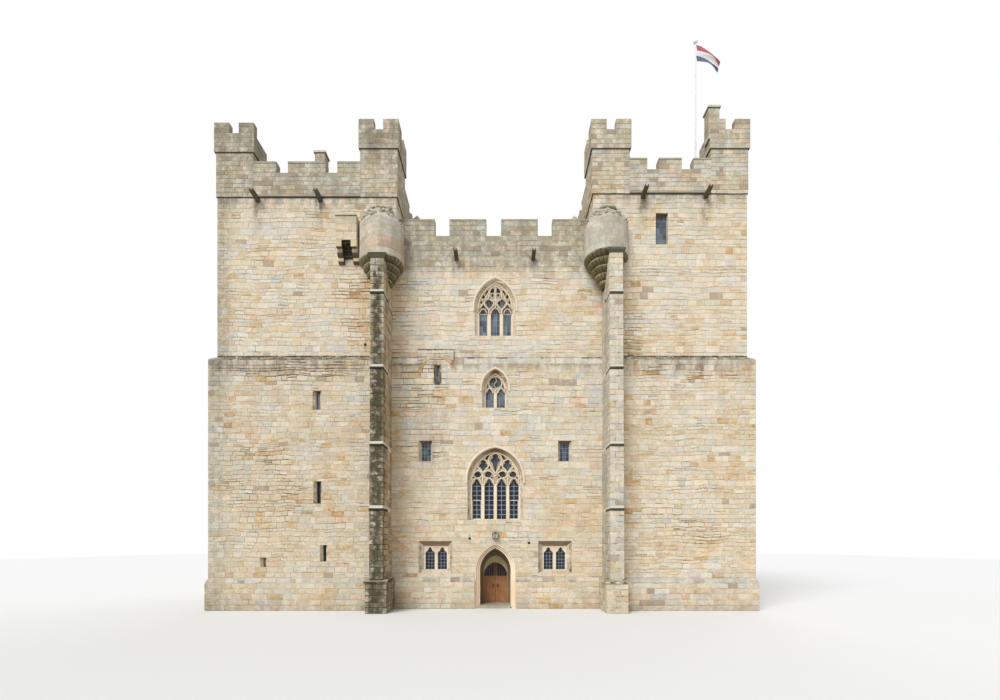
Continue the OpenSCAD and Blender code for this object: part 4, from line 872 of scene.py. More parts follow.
def buttress_sort(x, y, z):
    if x < 0:
        return sorted_stone(x, y, z, 0.36 if z > 12 else 0.5, 0.06, 0.1, 0.02, 0.1 + 0.35 * (z < 12.4))
    return sorted_stone(x, y, z, 0.33, 0.04, 0.1, 0.01, 0.02)


# painted shade: the left returns, turned away from the key light, get browner stones and some dark ones
def return_sort(x, y, z):
    return (rng.uniform(0.52, 0.8), 1.0 if rng.random() < 0.2 else 0.0) if x < 0 else (rng.uniform(0.1, 0.36), 0.0)


def arch_sort(x, y, z):
    return rng.uniform(0.58, 0.88), 1.0 if rng.random() < 0.25 else 0.0


def box_sort(x, y, z):
    return rng.uniform(0.46, 0.62), 0.0


def rubble_sort(x, y, z):
    return rng.uniform(0.1, 0.3), 0.0


WING_SPOUTS = (-11.905, -8.585, 8.535, 11.855)
BLOCK_SPOUTS = (-1.42, 2.76)


def wall_wear(x, y, z):
    if -7.36 < x < -6.74 and abs(y) < 6.6 and 18.6 < z < 19.4:
        # painted shade: full soot and moss inside the opening of the corbelled box
        return 3.0, 0.0, 4.0
    top = WING_TOP if x < 0 else RIGHT_TOP
    soot = 0.6 * smooth(z, top - 0.7, top)
    if abs(y) > 6.3:
        soot += 1.1 * near(x, WING_SPOUTS, 0.4) * smooth(z, top - 2.2, top - 0.2)
    soot += 0.5 * smooth(z, OFFSET_Z - 1.0, OFFSET_Z - 0.4) * (z < OFFSET_Z + 0.01)
    soot += 0.22 * (1 - smooth(z, 0.0, 2.2)) + 0.06
    outer = (1 - smooth(x, X_LO + 0.5, X_LO + 1.5)) * (0.4 if abs(y) < 6.3 else 1.0)
    lichen = 0.3 * smooth(z, top - 1.2, top) + 0.1 + 0.45 * outer
    return soot + 0.25 * outer, lichen, 0.25 * (1 - smooth(z, 0.0, 0.7)) + 0.2 * outer * smooth(z, 11.0, 13.0)


def block_wear(x, y, z):
    soot = 0.35 * smooth(z, BLOCK_OFFSET_Z - 0.6, BLOCK_OFFSET_Z) * (z < BLOCK_OFFSET_Z + 0.01)
    soot += 0.48 * smooth(z, 18.0, 18.8) + 0.22 * (1 - smooth(z, 0.0, 1.8)) + 0.07
    soot += 0.3 * near(x, (-2.9,), 1.5) * (smooth(z, 7.2, 8.2) * (1 - smooth(z, 9.6, 13.4)))
    soot += 0.5 * near(x, BLOCK_SPOUTS, 0.4) * smooth(z, 17.4, 19.0)
    soot += 0.26 * smooth(z, 13.05, 13.25) * (1 - smooth(z, 13.7, 14.0))
    return soot, 0.08 + 0.85 * smooth(z, 18.2, 18.9), 0.2 * (1 - smooth(z, 0.0, 0.6))


def ledge_wear(x, y, z):
    if z < 3:
        return 0.15 + 0.6 * (z < SLOPE_Z + 0.02), 0.35, 0.05
    return 0.95, 1.0, 0.55 * smooth(field(x, y, z, 1.1, 5.0), -0.2, 0.2)


def parapet_wear(x, y, z):
    high = smooth(z, 23.2, 25.0)
    if on_block(x, z):
        return 0.45, 0.95, 0.12
    return (0.36 + 0.45 * high, 0.8 + 0.2 * high, 0.12) if x < 0 else (0.22 + 0.15 * high, 0.4 + 0.3 * high, 0.06)


def drum_wear(x, y, z):
    return 0.32, 0.34 + 0.66 * smooth(z, 20.0, 20.7), 0.05 + 0.2 * smooth(z, 20.3, 21.0)


def buttress_wear(x, y, z):
    if x > 0:
        return 0.2, 0.3, 0.06 * (1 - smooth(z, 0.0, 2.0))
    middle = 1 - smooth(abs(x + 5.27), 0.06, 0.3)
    front = 1.0 if abs(y) > 7.55 else 0.35
    fresh = smooth(z, 17.3, 17.6)
    high = (0.55 + 0.45 * smooth(z, 3.0, 9.0)) * (1 - 0.8 * fresh)
    old = 0.3 * (1 - smooth(z, 12.3, 12.6))
    return 0.6 + old + 0.45 * middle * front * (1 - fresh), 0.4, 0.3 + old + 0.95 * middle * front * high


# painted shade: the left returns, turned away from the key light, get more soot
def return_wear(x, y, z):
    return (0.56, 0.2, 0.1) if x < 0 else (0.45, 0.55, 0.0)


def box_wear(x, y, z):
    return 0.1, 0.2 + 0.7 * smooth(z, 20.0, 20.5), 0.0


def always(value):
    return lambda x, y, z: value


PLAIN = always((0.0, 0.0)), always((0.0, 0.0, 0.0))
# DARK stones get full soot and moss and count as dark odd ones: painted shade in thin strips where walls meet ledges
DARK = always((0.3, 1.0)), always((2.0, 0.0, 3.0))
WALL, PLINTH = (wing_sort, wall_wear), (plinth_sort, wall_wear)
LEDGE, BAND = (ledge_sort, ledge_wear), (plinth_sort, ledge_wear)
BLOCK, BLOCK_PLINTH, RELIEF = [(sort, block_wear) for sort in (block_sort, plinth_sort, arch_sort)]
BUTTRESS, BUTTRESS_FOOT = (buttress_sort, buttress_wear), (plinth_sort, buttress_wear)
PARAPET, RETURN = (parapet_sort, parapet_wear), (return_sort, return_wear)
DRUM, BOX = (drum_sort, drum_wear), (box_sort, box_wear)
RUBBLE = (rubble_sort, always((0.05, 0.8, 0.15)))


# ---- wings

def quoin(i, long=0.58, short=0.32):
    return (long, short) if i % 2 else (short, long)


zs_plinth = levels([0.0, SLOPE_Z], 0.3, 0.15)


def wing(name, side, edge, edge_up, inner, inner_up, zs_low, zs_up, holes_low, holes_up):
    """One wing's front, back and outer side; side is -1 for the left and 1 for the right."""
    meet = inner + side * BUTTRESS_W      # where the buttress stands against the wall
    out, y_out = edge + side * PLINTH_OUT, Y_FRONT - PLINTH_OUT

    def span(outer):
        return (outer, meet)[::-side]

    def ends(i):
        return (quoin(i)[0], 0.0)[::-side]

    low, up = span(edge), span(edge_up)
    for pile in pair(name + "_{}_stones"):
        pile.wall(front_at(Y_FRONT), low, zs_low, WALL, holes_low, ends)
        pile.wall(front_at(Y_UPPER), up, zs_up, WALL, holes_up, ends)
        # rough stones that lie on the step
        u = min(up) + 0.05
        while u < max(up) - 0.35:
            w, h = rng.uniform(0.1, 0.34), rng.uniform(0.06, 0.24)
            if rng.random() < 0.75:
                pile.block((u, u + w), (Y_FRONT + rng.uniform(0.0, 0.08), Y_UPPER + 0.03),
                           (OFFSET_Z - 0.02, OFFSET_Z + h), LEDGE, 0.03)
            u += w + rng.uniform(0.0, 0.08)
        # a thin strip of stones painted black: painted shade where the upper wall stands on the ledge
        top = OFFSET_BAND[1]
        pile.wall(front_at(Y_UPPER - 0.035), up, (top - 0.03, top + 0.055), DARK, length=(0.1, 0.5), proud=0.02,
                  gap=0.03, rough=1.5)
        # over the buttress, behind the round turret
        pile.wall(front_at(Y_UPPER), (meet, inner_up)[::-side], [z for z in zs_up if z > 18.4], WALL)
        pile.wall(front_at(y_out), span(out), zs_plinth, PLINTH, (), ends, (0.4, 0.9))
        pile.wall(front_at(sloped(PLINTH_BAND, y_out, Y_FRONT)), span(sloped(PLINTH_BAND, out, edge)), PLINTH_BAND,
                  BAND, length=(0.5, 1.0))
        pile.wall(front_at(sloped(OFFSET_BAND, Y_FRONT - 0.02, Y_UPPER - 0.01)),
                  span(sloped(OFFSET_BAND, edge, edge_up)), OFFSET_BAND, LEDGE, length=(0.3, 0.8), proud=0.02,
                  gap=0.016, rough=2.2)
        pile.build()

    sides = Pile(name + "_side_stones")

    def flank(x, y, zs, kind, **settings):
        y = steady(y)
        sides.wall(side_at(x, side), (y, lambda z: -y(z)), zs, kind, **settings)

    def side_ends(i):
        return (quoin(i)[1],) * 2

    flank(edge, Y_FRONT, zs_low, WALL, ends=side_ends)
    flank(edge_up, Y_UPPER, zs_up, WALL, ends=side_ends)
    flank(out, y_out, zs_plinth, PLINTH, ends=side_ends, length=(0.4, 0.9))
    flank(sloped(PLINTH_BAND, out, edge), sloped(PLINTH_BAND, y_out, Y_FRONT), PLINTH_BAND, BAND, length=(0.5, 1.0))
    flank(sloped(OFFSET_BAND, edge + side * 0.02, edge_up + side * 0.01), sloped(OFFSET_BAND, Y_FRONT, Y_UPPER),
          OFFSET_BAND, LEDGE, length=(0.3, 0.8), proud=0.022, gap=0.01, rough=1.6)
    # corner stones, by how far they stand out and how far they stop short
    p, q = 0.016, 0.004
    for x, y, zs, kind in ((edge, Y_FRONT, zs_low, WALL), (edge_up, Y_UPPER, zs_up, WALL),
                           (out, y_out, zs_plinth, PLINTH)):
        for i, bed in courses(zs):
            a, b = quoin(i)
            xs = (x - p, x + a - q) if side < 0 else (x - a + q, x + p)
            for ys in ((y - p, y + b - q), (-y - b + q, -y + p)):
                sides.block(xs, ys, bed, kind)
    sides.build()


zs_left = levels([PLINTH_Z, 2.0, 2.29, 2.58, 2.78, 3.44, 5.63, 6.8, 10.57, 11.56, OFFSET_Z], 0.235, 0.4)
zs_left_up = levels([OFFSET_BAND[1], WING_TOP], 0.245, 0.4)
zs_right = levels([PLINTH_Z, OFFSET_Z], 0.24, 0.4)
zs_right_up = levels([OFFSET_BAND[1], 19.43, 21.08, RIGHT_TOP], 0.25, 0.4)
wing("left_wing", -1, X_LO, X_LO_UP, X_LI, X_LI_UP, zs_left, zs_left_up,
     [slit_hole(*s) for s in ((-8.675, 0.23, 10.57, 11.56), (-8.645, 0.23, 5.63, 6.8), (-8.325, 0.18, 2.58, 3.44),
                              (-11.505, 0.12, 2.29, 2.78))], [putlog(*PUTLOGS[3])])
wing("right_wing", 1, X_RO, X_RO_UP, X_RI, X_RI_UP, zs_right, zs_right_up, (), [rect_hole(9.23, 9.87, 19.43, 21.08)])


# ---- block

# The round relieving arch over the slit, in a raised panel
ARCH_X, ARCH_Z, ARCH_R, ARCH_IN = -2.46, 12.82, 1.04, 0.82
PANEL = (-3.52, -1.56)
door_hole, third_hole = arch_hole(DOOR, 0.285), arch_hole(THIRD, 0.16)
zs_block = levels([PLINTH_Z, 1.92, door_hole.top, 3.66, 4.81, 7.98, 9.11, 10.91, 12.15, ARCH_Z, 13.22,
                   BLOCK_OFFSET_Z + 0.001], 0.28, 0.42)
zs_block_up = levels([BLOCK_BAND[1], 14.1, 14.87, third_hole.top, 18.35, 18.62, BLOCK_TOP], 0.29, 0.38)


def block():
    size, panel = (0.28, 0.85), rect_hole(*PANEL, 13.0, 14.09)
    slit, relief = slit_hole(-2.44, 0.18, 12.15, 13.22), round_hole(ARCH_X, ARCH_Z, ARCH_R)
    windows = [rect_hole(X_AXIS + side * x - w, X_AXIS + side * x + w, z0, z1)
               for x, w, z0, z1 in ((GROUND_X, 0.91, 1.92, 3.66), (SMALL_X, 0.37, 7.98, 9.11)) for side in (-1, 1)]
    turn = ARCH_R - 0.1
    step = math.pi * turn / 11

    def ring(u, v, d):
        return ARCH_X + v * math.cos(u / turn), Y_BAY - d, ARCH_Z + v * math.sin(u / turn)

    def arch_side(sign):
        return lambda z: ARCH_X + sign * math.sqrt(ARCH_IN ** 2 - (z - ARCH_Z) ** 2)

    for pile in pair("block_{}_stones"):
        door = [] if pile.back else [door_hole]
        pile.wall(front_at(Y_BAY), (X_LI, X_RI), zs_block, BLOCK,
                  [*windows, arch_hole(HALL, 0.16), arch_hole(SECOND, 0.11), slit, relief, *door,
                   *(putlog(*p) for p in PUTLOGS[:3])], None, size)
        for x0, x1, z0, z1 in ((X_LI, X_RI, 13.6, 18.36), (X_LI_UP, X_RI, 18.34, 18.63),
                               (X_LI_UP, X_RI_UP, 18.61, BLOCK_TOP)):
            pile.wall(front_at(Y_BLOCK_UP), (x0, x1), [z for z in zs_block_up if z0 < z < z1 + 0.001], BLOCK,
                      [third_hole, panel], None, size)
        pile.wall(front_at(Y_BAY), PANEL, (13.28, 13.47, 13.66, ARCH_Z + ARCH_R, 14.04), BLOCK, [relief, slit], None,
                  size)
        pile.wall(front_at(Y_BAY), (arch_side(-1), arch_side(1)), (ARCH_Z, 13.02, 13.22, 13.38, 13.52, 13.635), BLOCK,
                  [slit], None, (0.2, 0.4))
        for i in range(11):
            pile.slab(pile.face(ring), (i * step,) * 2, ((i + 1) * step,) * 2, ARCH_IN, ARCH_R, RELIEF, 2, 0.02)
        foot = (-4.76, 6.32)     # between the feet of the buttresses
        pile.wall(front_at(Y_BAY - PLINTH_OUT), foot, zs_plinth, BLOCK_PLINTH, door, None, (0.4, 0.9))
        pile.wall(front_at(sloped(PLINTH_BAND, Y_BAY - PLINTH_OUT, Y_BAY)), foot, PLINTH_BAND, BAND, door, None,
                  (0.5, 1.0))
        pile.wall(front_at(sloped(BLOCK_BAND, Y_BAY, Y_BLOCK_UP)), (X_LI, X_RI), BLOCK_BAND, BLOCK_PLINTH, [panel],
                  None, (0.5, 1.0))
        # thin strips of stones painted black: painted shade on the offset's top and over the panel
        pile.wall(front_at(Y_BLOCK_UP - 0.035), (X_LI, X_RI), (13.615, 13.675), DARK, [panel], None, (0.1, 0.45),
                  None, 0.02, 0.03, 1.5)
        pile.wall(front_at(Y_BAY - 0.03), PANEL, (14.03, 14.09), DARK, (), None, (0.08, 0.3), None, 0.02, 0.02, 1.5)
        pile.build()


block()


# ---- buttresses

def buttresses():
    """Two stones a course at the front, and both sides back to the walls."""
    for pile in pair("{}_buttress_stones"):
        for x0, x1, inner in ((X_LI - BUTTRESS_W, X_LI, 1), (X_RI, X_RI + BUTTRESS_W, -1)):
            mid = (x0 + x1) / 2
            heads = (5.19, 8.44, 12.35, 16.18, 18.02 if x0 < 0 else 18.29)
            for n, foot, head in zip((4, 3, 2, 1, 0), (PLINTH_Z, *BUTTRESS_OFFSETS), heads):
                # each stage stands a little behind the one below
                y = Y_FRONT - 0.9 - 0.06 * n
                for i, bed in courses(levels([foot, head], 0.3, 0.2)):
                    m = mid + (0.09 if i % 2 else -0.09)
                    close, far = (0.3, 0.52) if i % 2 else (0.52, 0.3)
                    for xs, d in (((x0 - 0.012, m - 0.003), close), ((m + 0.003, x1 + 0.012), far)):
                        pile.block(xs, (y - 0.012, y + d - 0.004), bed, BUTTRESS)
                    for x, sign, d in ((x0, -1, close), (x1, 1, far)):
                        if sign == inner:
                            end, kind = Y_BAY if bed[0] < BLOCK_OFFSET_Z else Y_BLOCK_UP, RETURN
                        else:
                            end, kind = Y_FRONT if bed[0] < OFFSET_Z else Y_UPPER, BUTTRESS
                        pile.wall(side_at(x, sign), (y + d, end), bed, kind, length=(0.35, 0.8))
            for i, bed in courses(levels([0.0, 1.52], 0.32, 0.15)):
                m = mid + (0.14 if i % 2 else -0.14)
                for xs in ((mid - 0.542, m - 0.003), (m + 0.003, mid + 0.542)):
                    pile.block(xs, (-7.962, -7.454), bed, BUTTRESS_FOOT)
                for x, sign in ((mid - 0.53, -1), (mid + 0.53, 1)):
                    end = (Y_BAY if sign == inner else Y_FRONT) - PLINTH_OUT
                    pile.wall(side_at(x, sign), (-7.45, end), bed, BUTTRESS_FOOT, length=(0.4, 0.8))
        pile.build()


buttresses()


# ---- round corner turrets

def drums():
    def parts(length):
        return max(1, round(length / 0.16))

    def round_face(cx, sign):
        """Bent round a turret and drawn in over its cap."""
        def at(u, v, d):
            r = DRUM_R
            for (z0, r0), (z1, r1) in zip(CONE, CONE[1:]):
                if v > z0:
                    r = r0 + (r1 - r0) * (v - z0) / (z1 - z0)
            a = u / DRUM_R
            return cx + sign * (r + d) * math.cos(a), DRUM_Y + (r + d) * math.sin(a), v
        return at

    piles = pair("{}_drum_stones")
    cap = [z for z, r in CONE]
    for pile in piles:
        for cx, foot, sign in DRUMS:
            for start, stop, zs, length in ((-177, 32, levels([foot, cap[0]], 0.31, 0.1), (0.5, 1.0)),
                                            (-179, 45, cap, (0.7, 1.2))):
                pile.wall(round_face(cx, sign), (DRUM_R * math.radians(start), DRUM_R * math.radians(stop)), zs, DRUM,
                          (), None, length, parts, 0.013, 0.002, 0.25)
    for pile in piles:
        # rubble on the caps
        for cx, foot, sign in DRUMS:
            for _ in range(46):
                a, z = rng.uniform(-math.pi, 0.2), rng.uniform(20.35, 21.16)
                r = 1.1 - 0.5 * (z - 20.35) / 0.8 + rng.uniform(-0.05, 0.0)
                x, y, w = cx + sign * r * math.cos(a), DRUM_Y + r * math.sin(a), rng.uniform(0.05, 0.12)
                pile.block((x - w, x + w), (y - w, y + w), (z - 0.05, z + rng.uniform(0.02, 0.1)), RUBBLE, 0.03)
        pile.build(material="drum")


drums()


# ---- parapets, square turrets, chimneys and the corbelled box

def inner_at(y):
    """A face to the back."""
    return back_of(front_at(-y))


def parapets():
    rise = (0.0, 0.15, 0.38, 0.61, 0.84, 1.07, 1.3, 1.55, 1.8)
    gap, sill = 0.62, 1.29

    def notches(starts, base):
        return [rect_hole(u, u + gap, base + sill, 30) for u in starts]

    for pile in pair("{}_parapet_stones"):
        for (_, x0, _, base, _), (x1, *_), middle in ((*TURRETS[:2], 2.0), (*TURRETS[2:], 1.21)):
            m, zs = (x0 + x1) / 2, [base + r for r in rise]
            holes = notches((m - middle / 2 - gap, m + middle / 2), base)
            pile.wall(front_at(Y_PARAPET), (x0, x1), zs[1:], PARAPET, holes)
            pile.wall(inner_at(Y_PARAPET + PARAPET_T), (x0, x1), zs, PARAPET, holes)
        holes = [rect_hole(a, a + 0.8, 20.31, 30) for a in (-2.6125, 0.2, 3.0125)]
        zs = levels([BLOCK_TOP, 20.32, 21.13], 0.27, 0.12)
        for at in (front_at(Y_BLOCK_UP), inner_at(Y_BLOCK_UP + PARAPET_T)):
            pile.wall(at, (X_LI_UP, X_RI_UP), zs, PARAPET, holes, None, (0.35, 0.75))
        pile.build(slot="lichened_stone")
    sides = Pile("side_parapet_stones")
    for (x0, x1, depth, base, _), sign in zip(TURRETS, (-1, 1, -1, 1)):
        x, a, b = x1 if sign > 0 else x0, Y_PARAPET + depth, -Y_PARAPET - depth
        merlon, zs = (b - a - 4 * gap) / 5, [base + r for r in rise]
        holes = notches([a + i * merlon + (i - 1) * gap for i in (1, 2, 3, 4)], base)
        sides.wall(side_at(x, sign), (a, b), zs[1:], PARAPET, holes)
        sides.wall(side_at(x - sign * PARAPET_T, -sign), (a, b), zs, PARAPET, holes)
    for x, sign, top in ((X_LI_UP, 1, WING_TOP), (X_RI_UP, -1, RIGHT_TOP)):
        sides.wall(side_at(x, sign), (Y_UPPER, -Y_UPPER), levels([BLOCK_TOP, top], 0.245), WALL)
    sides.build(slot="lichened_stone")


parapets()


def square_turret(pile, xs, ys, zs):
    """Four faces with corner stones that alternate."""
    (x0, x1), (y0, y1), p = xs, ys, 0.012
    for i, bed in courses(zs):
        a, b = quoin(i, 0.46, 0.28)
        for corner_y in ((y0 - p, y0 + b), (y1 - b, y1 + p)):
            for corner_x in ((x0 - p, x0 + a), (x1 - a, x1 + p)):
                pile.block(corner_x, corner_y, bed, PARAPET)
        for at, (start, stop), c in ((front_at(y0), xs, a), (side_at(x0, -1), ys, b), (side_at(x1, 1), ys, b),
                                     (inner_at(y1), xs, a)):
            pile.wall(at, (start + c, stop - c), bed, PARAPET, length=(0.3, 0.6))


def merlon_legs(pile, xs, ys, z0, full):
    """The corners of a crown above its gaps; an open one has only the two at its front."""
    (x0, x1), (y0, y1), t, p, q = xs, ys, 0.33, 0.012, 0.008
    wx, wy = (x1 - x0 - 0.5) / 2, (y1 - y0 - 0.5) / 2
    for _, bed in courses((z0, (z0 + z0 + 0.55) / 2, z0 + 0.55)):
        for right in (0, 1):
            for back in (0, 1):
                if full or back == (y0 > 0):
                    pile.block((x1 - wx - q, x1 + p) if right else (x0 - p, x0 + wx + q),
                               (y1 - t - p, y1 + p) if back else (y0 - p, y0 + t + p), bed, PARAPET, 0.022)
                if full:
                    pile.block((x1 - t - p, x1 + p) if right else (x0 - p, x0 + t + p),
                               (y1 - wy - q, y1 - t - p) if back else (y0 + t + p, y0 + wy + q), bed, PARAPET, 0.022)


def turrets():
    piles, c = (Pile("left_turret_stones"), Pile("right_turret_stones")), CROWN_OUT
    for x0, x1, depth, base, top in TURRETS:
        pile = piles[x0 > 0]
        for y0, y1 in ((Y_PARAPET, Y_PARAPET + depth), (-Y_PARAPET - depth, -Y_PARAPET)):
            square_turret(pile, (x0, x1), (y0, y1), levels([base, top], 0.245, 0.12))
            crown = (x0 - c, x1 + c), (y0 - c, y1 + c)
            square_turret(pile, *crown, levels([top, top + CROWN_H], 0.26, 0.1))
            merlon_legs(pile, *crown, top + CROWN_H, depth == TURRET_W)
    for pile in piles:
        pile.build(slot="lichened_stone")


turrets()


def stacks_and_box():
    pile = Pile("chimney_stones")
    h = 0.29
    for x, y, z0, z1 in ((12.275, -6.34, 24.95, 26.58), (-9.185, -4.75, 21.9, 25.5), (-4.115, -2.75, 19.2, 22.9),
                         (5.475, -2.75, 19.2, 22.9)):
        for i, bed in courses(levels([z0, z1], 0.27, 0.15)):
            m = rng.uniform(-0.08, 0.08)
            for part in ((-h, m - 0.003), (m + 0.003, h)):
                dx, dy = (part, (-h, h)) if i % 2 else ((-h, h), part)
                pile.block((x + dx[0], x + dx[1]), (y + dy[0], y + dy[1]), bed, PARAPET)
    pile.build()
    box, xs, beds = Pile("box_stones"), (-7.585, -6.505), (18.95, 19.29, 19.72, 20.14, 20.54)
    for at, ys in ((front_at(-7.1), (-7.1, -6.5)), (inner_at(7.1), (6.5, 7.1))):
        box.wall(at, xs, beds[1:], BOX, length=(0.4, 0.7))
        for x, sign in zip(xs, (-1, 1)):
            box.wall(side_at(x, sign), ys, beds, BOX)
    box.build()


stacks_and_box()


# ---------------------------------------------------------------- glazing, ribs, handles and lantern

def bar(pile, x0, x1, y0, y1, z0, z1):
    pile.block((x0, x1), (y0, y1), (z0, z1), PLAIN, 0.004, 0.0)


def glazing():
    """Leaded bars in every light, and pale casements in some, at the front and at the back."""
    dark, pale = Pile("window_bars"), Pile("window_casements")

    def put(pile, xa, xb, za, zb, y, t):
        for ya, yb in ((y - t, y), (-y, t - y)):
            bar(pile, xa, xb, ya, yb, za, zb)

    # from the axis, width of all lights, foot, head, depth, width of the bars; each light's squares and casement
    rows = [(0, 2.68, 4.87, 6.95, -5.53, 0.03, ((2, 8, 1.06), (2, 8, 0), (2, 8, 0), (2, 8, 1.06))),
            (0, 1.92, 14.93, 16.45, -5.53, 0.016, ((1, 1, 1.25), (3, 5, 0), (1, 1, 1.25))),
            (0, 1.18, 10.97, 11.9, -5.53, 0.014, ((3, 4, 0),) * 2)]
    rows += [(m, 1.3, 2.11, 3.22, -5.49, 0.018, ((3, 6, 0),) * 2) for m in (-GROUND_X, GROUND_X)]
    rows += [(m, 0.62, 8.04, 8.99, -5.69, 0.014, ((3, 4, 0),)) for m in (-SMALL_X, SMALL_X)]
    margin, mullion = 0.06, 0.165
    for middle, width, z0, z1, y, thick, lights in rows:
        w = (width - 2 * margin - (len(lights) - 1) * mullion) / len(lights)
        for k, (across, up, casement) in enumerate(lights):
            x = X_AXIS + middle + (margin - width / 2 + w * (k + 0.5) + k * mullion)
            for i in range(1, across):
                m = x - w / 2 + w * i / across
                put(dark, m - thick / 2, m + thick / 2, z0, z1, y, 0.016)
            for i in range(1, up):
                m = z0 + (z1 - z0) * i / up
                put(dark, x - w / 2, x + w / 2, m - thick / 2, m + thick / 2, y, 0.013)
            f, top, frame = (0.04, z0 + casement, pale) if casement else (0.014, z1, dark)
            for xa, xb, za, zb in ((x - w / 2, x - w / 2 + f, z0, top), (x + w / 2 - f, x + w / 2, z0, top),
                                   (x - w / 2, x + w / 2, z0, z0 + f), (x - w / 2, x + w / 2, top - f, top)):
                put(frame, xa, xb, za, zb, y, 0.026)
    dark.build(slot="iron", material="frame")
    pale.build(slot="white_paint", material="casement")


glazing()

# Ribs of the tracery on the window's left half: distance from its axis, and height
HALL_RIBS = (
    ((-1.28, 6.74), (-1.26, 6.93), (-1.15, 7.06), (-1.03, 7.11), (-0.91, 7.06), (-0.8, 6.93), (-0.77, 6.74)),
    ((-0.6, 6.74), (-0.58, 6.93), (-0.47, 7.06), (-0.34, 7.11), (-0.22, 7.06), (-0.11, 6.93), (-0.08, 6.74)),
    ((-0.69, 6.74), (-0.69, 7.41)), ((-0.69, 7.41), (-0.85, 7.6), (-0.99, 7.77), (-0.92, 8.01), (-0.69, 8.17)),
    ((-0.69, 7.41), (-0.52, 7.6), (-0.38, 7.77), (-0.45, 8.01), (-0.69, 8.17)),
    ((0, 7.36), (-0.11, 7.53), (-0.3, 7.87), (-0.37, 8.15), (-0.25, 8.37), (0, 8.48)),
    ((-1.23, 7.17), (-1.15, 7.41), (-0.95, 7.52), (-0.69, 7.41)),
    ((-0.69, 7.41), (-0.43, 7.52), (-0.19, 7.43), (0, 7.22)), ((-1.03, 7.11), (-0.85, 7.15), (-0.69, 7.29)),
    ((-0.34, 7.11), (-0.51, 7.15), (-0.69, 7.29)), ((-0.92, 7.89), (-1.07, 7.69), (-1.18, 7.41)))
THIRD_RIBS = (
    ((-0.86, 16.14), (-0.81, 16.29), (-0.67, 16.4), (-0.52, 16.29), (-0.47, 16.14)),
    ((-0.25, 16.15), (-0.16, 16.34), (0, 16.47)), ((-0.36, 16.14), (-0.36, 16.34)),
    ((-0.36, 16.34), (-0.53, 16.51), (-0.62, 16.67), (-0.52, 16.86), (-0.36, 16.96)),
    ((-0.36, 16.34), (-0.18, 16.51), (-0.08, 16.67), (-0.18, 16.86), (-0.36, 16.96)),
    ((-0.36, 16.96), (-0.34, 17.23), (-0.22, 17.51), (0, 17.68)), ((0, 16.47), (0, 17.65)),
    ((-0.36, 16.96), (-0.14, 16.82), (0, 16.93)), ((-0.82, 16.48), (-0.66, 16.7), (-0.49, 16.89)),
    ((-0.59, 16.74), (-0.48, 17.13), (-0.27, 17.41)))
SECOND_RIBS = (
    ((-0.55, 11.78), (-0.49, 11.94), (-0.34, 12.04), (-0.19, 11.94), (-0.14, 11.78)), ((0, 11.78), (0, 11.99)),
    ((0, 11.99), (-0.18, 12.02), (-0.33, 12.16), (-0.36, 12.33), (-0.29, 12.52), (-0.16, 12.64), (0, 12.69)),
    ((-0.52, 12.02), (-0.45, 12.26), (-0.33, 12.43)))


def smooth_line(points, steps=4):
    """Points along a soft curve through the given ones."""
    ends = [points[0], *points, points[-1]]
    line = []
    for a, b, c, d in zip(ends, ends[1:], ends[2:], ends[3:]):
        for k in range(steps):
            t = k / steps
            line.append(tuple(0.5 * (2 * q + (r - p) * t + (2 * p - 5 * q + 4 * r - s) * t * t
                                     + (3 * q - p - 3 * r + s) * t ** 3) for p, q, r, s in zip(a, b, c, d)))
    return line + [points[-1]]


def rib(pile, points, w=0.034, d=0.045, y=-5.69):
    """A chamfered moulding on the tracery's face along a line of x and z, and its twin at the back."""
    line = smooth_line(points)
    for sign in (1, -1):
        shape = []
        for i, (x, z) in enumerate(line):
            (xa, za), (xb, zb) = line[max(i - 1, 0)], line[min(i + 1, len(line) - 1)]
            run = math.hypot(xb - xa, zb - za) or 1.0
            nx, nz = (za - zb) / run, (xb - xa) / run
            for side, out in ((-w, 0.01), (-w, -d * 0.4), (-w * 0.35, -d), (w * 0.35, -d), (w, -d * 0.4), (w, 0.01)):
                shape.append((x + nx * side, sign * (y + out), z + nz * side))
        pile.shape(shape, prism(len(line) - 1), PLAIN)


def arch_line(width, spring, apex, shrink):
    """A pointed arch from its left spring over the apex, drawn in by a margin."""
    half, rise = width / 2, apex - spring
    r = (half * half + rise * rise) / (2 * half)
    reach = r - shrink
    top = math.acos((r - half) / reach)
    left = [(r - half - reach * math.cos(top * k / 6), spring + reach * math.sin(top * k / 6)) for k in range(7)]
    return left + [(-x, z) for x, z in left[-2::-1]]


def tracery_ribs():
    pile = Pile("tracery_ribs")
    for lines, (width, _, spring, apex), w in ((HALL_RIBS, HALL, 0.03), (THIRD_RIBS, THIRD, 0.025),
                                               (SECOND_RIBS, SECOND, 0.025)):
        for line in lines:
            for flip in (1, -1):
                if flip > 0 or any(abs(x) > 0.01 for x, z in line):
                    rib(pile, [(X_AXIS + flip * x, z) for x, z in line], w)
        rib(pile, [(X_AXIS + x, z) for x, z in arch_line(width, spring, apex, 0.032)], d=0.052)
    pile.build(slot="dressed_stone", material="rib")


tracery_ribs()


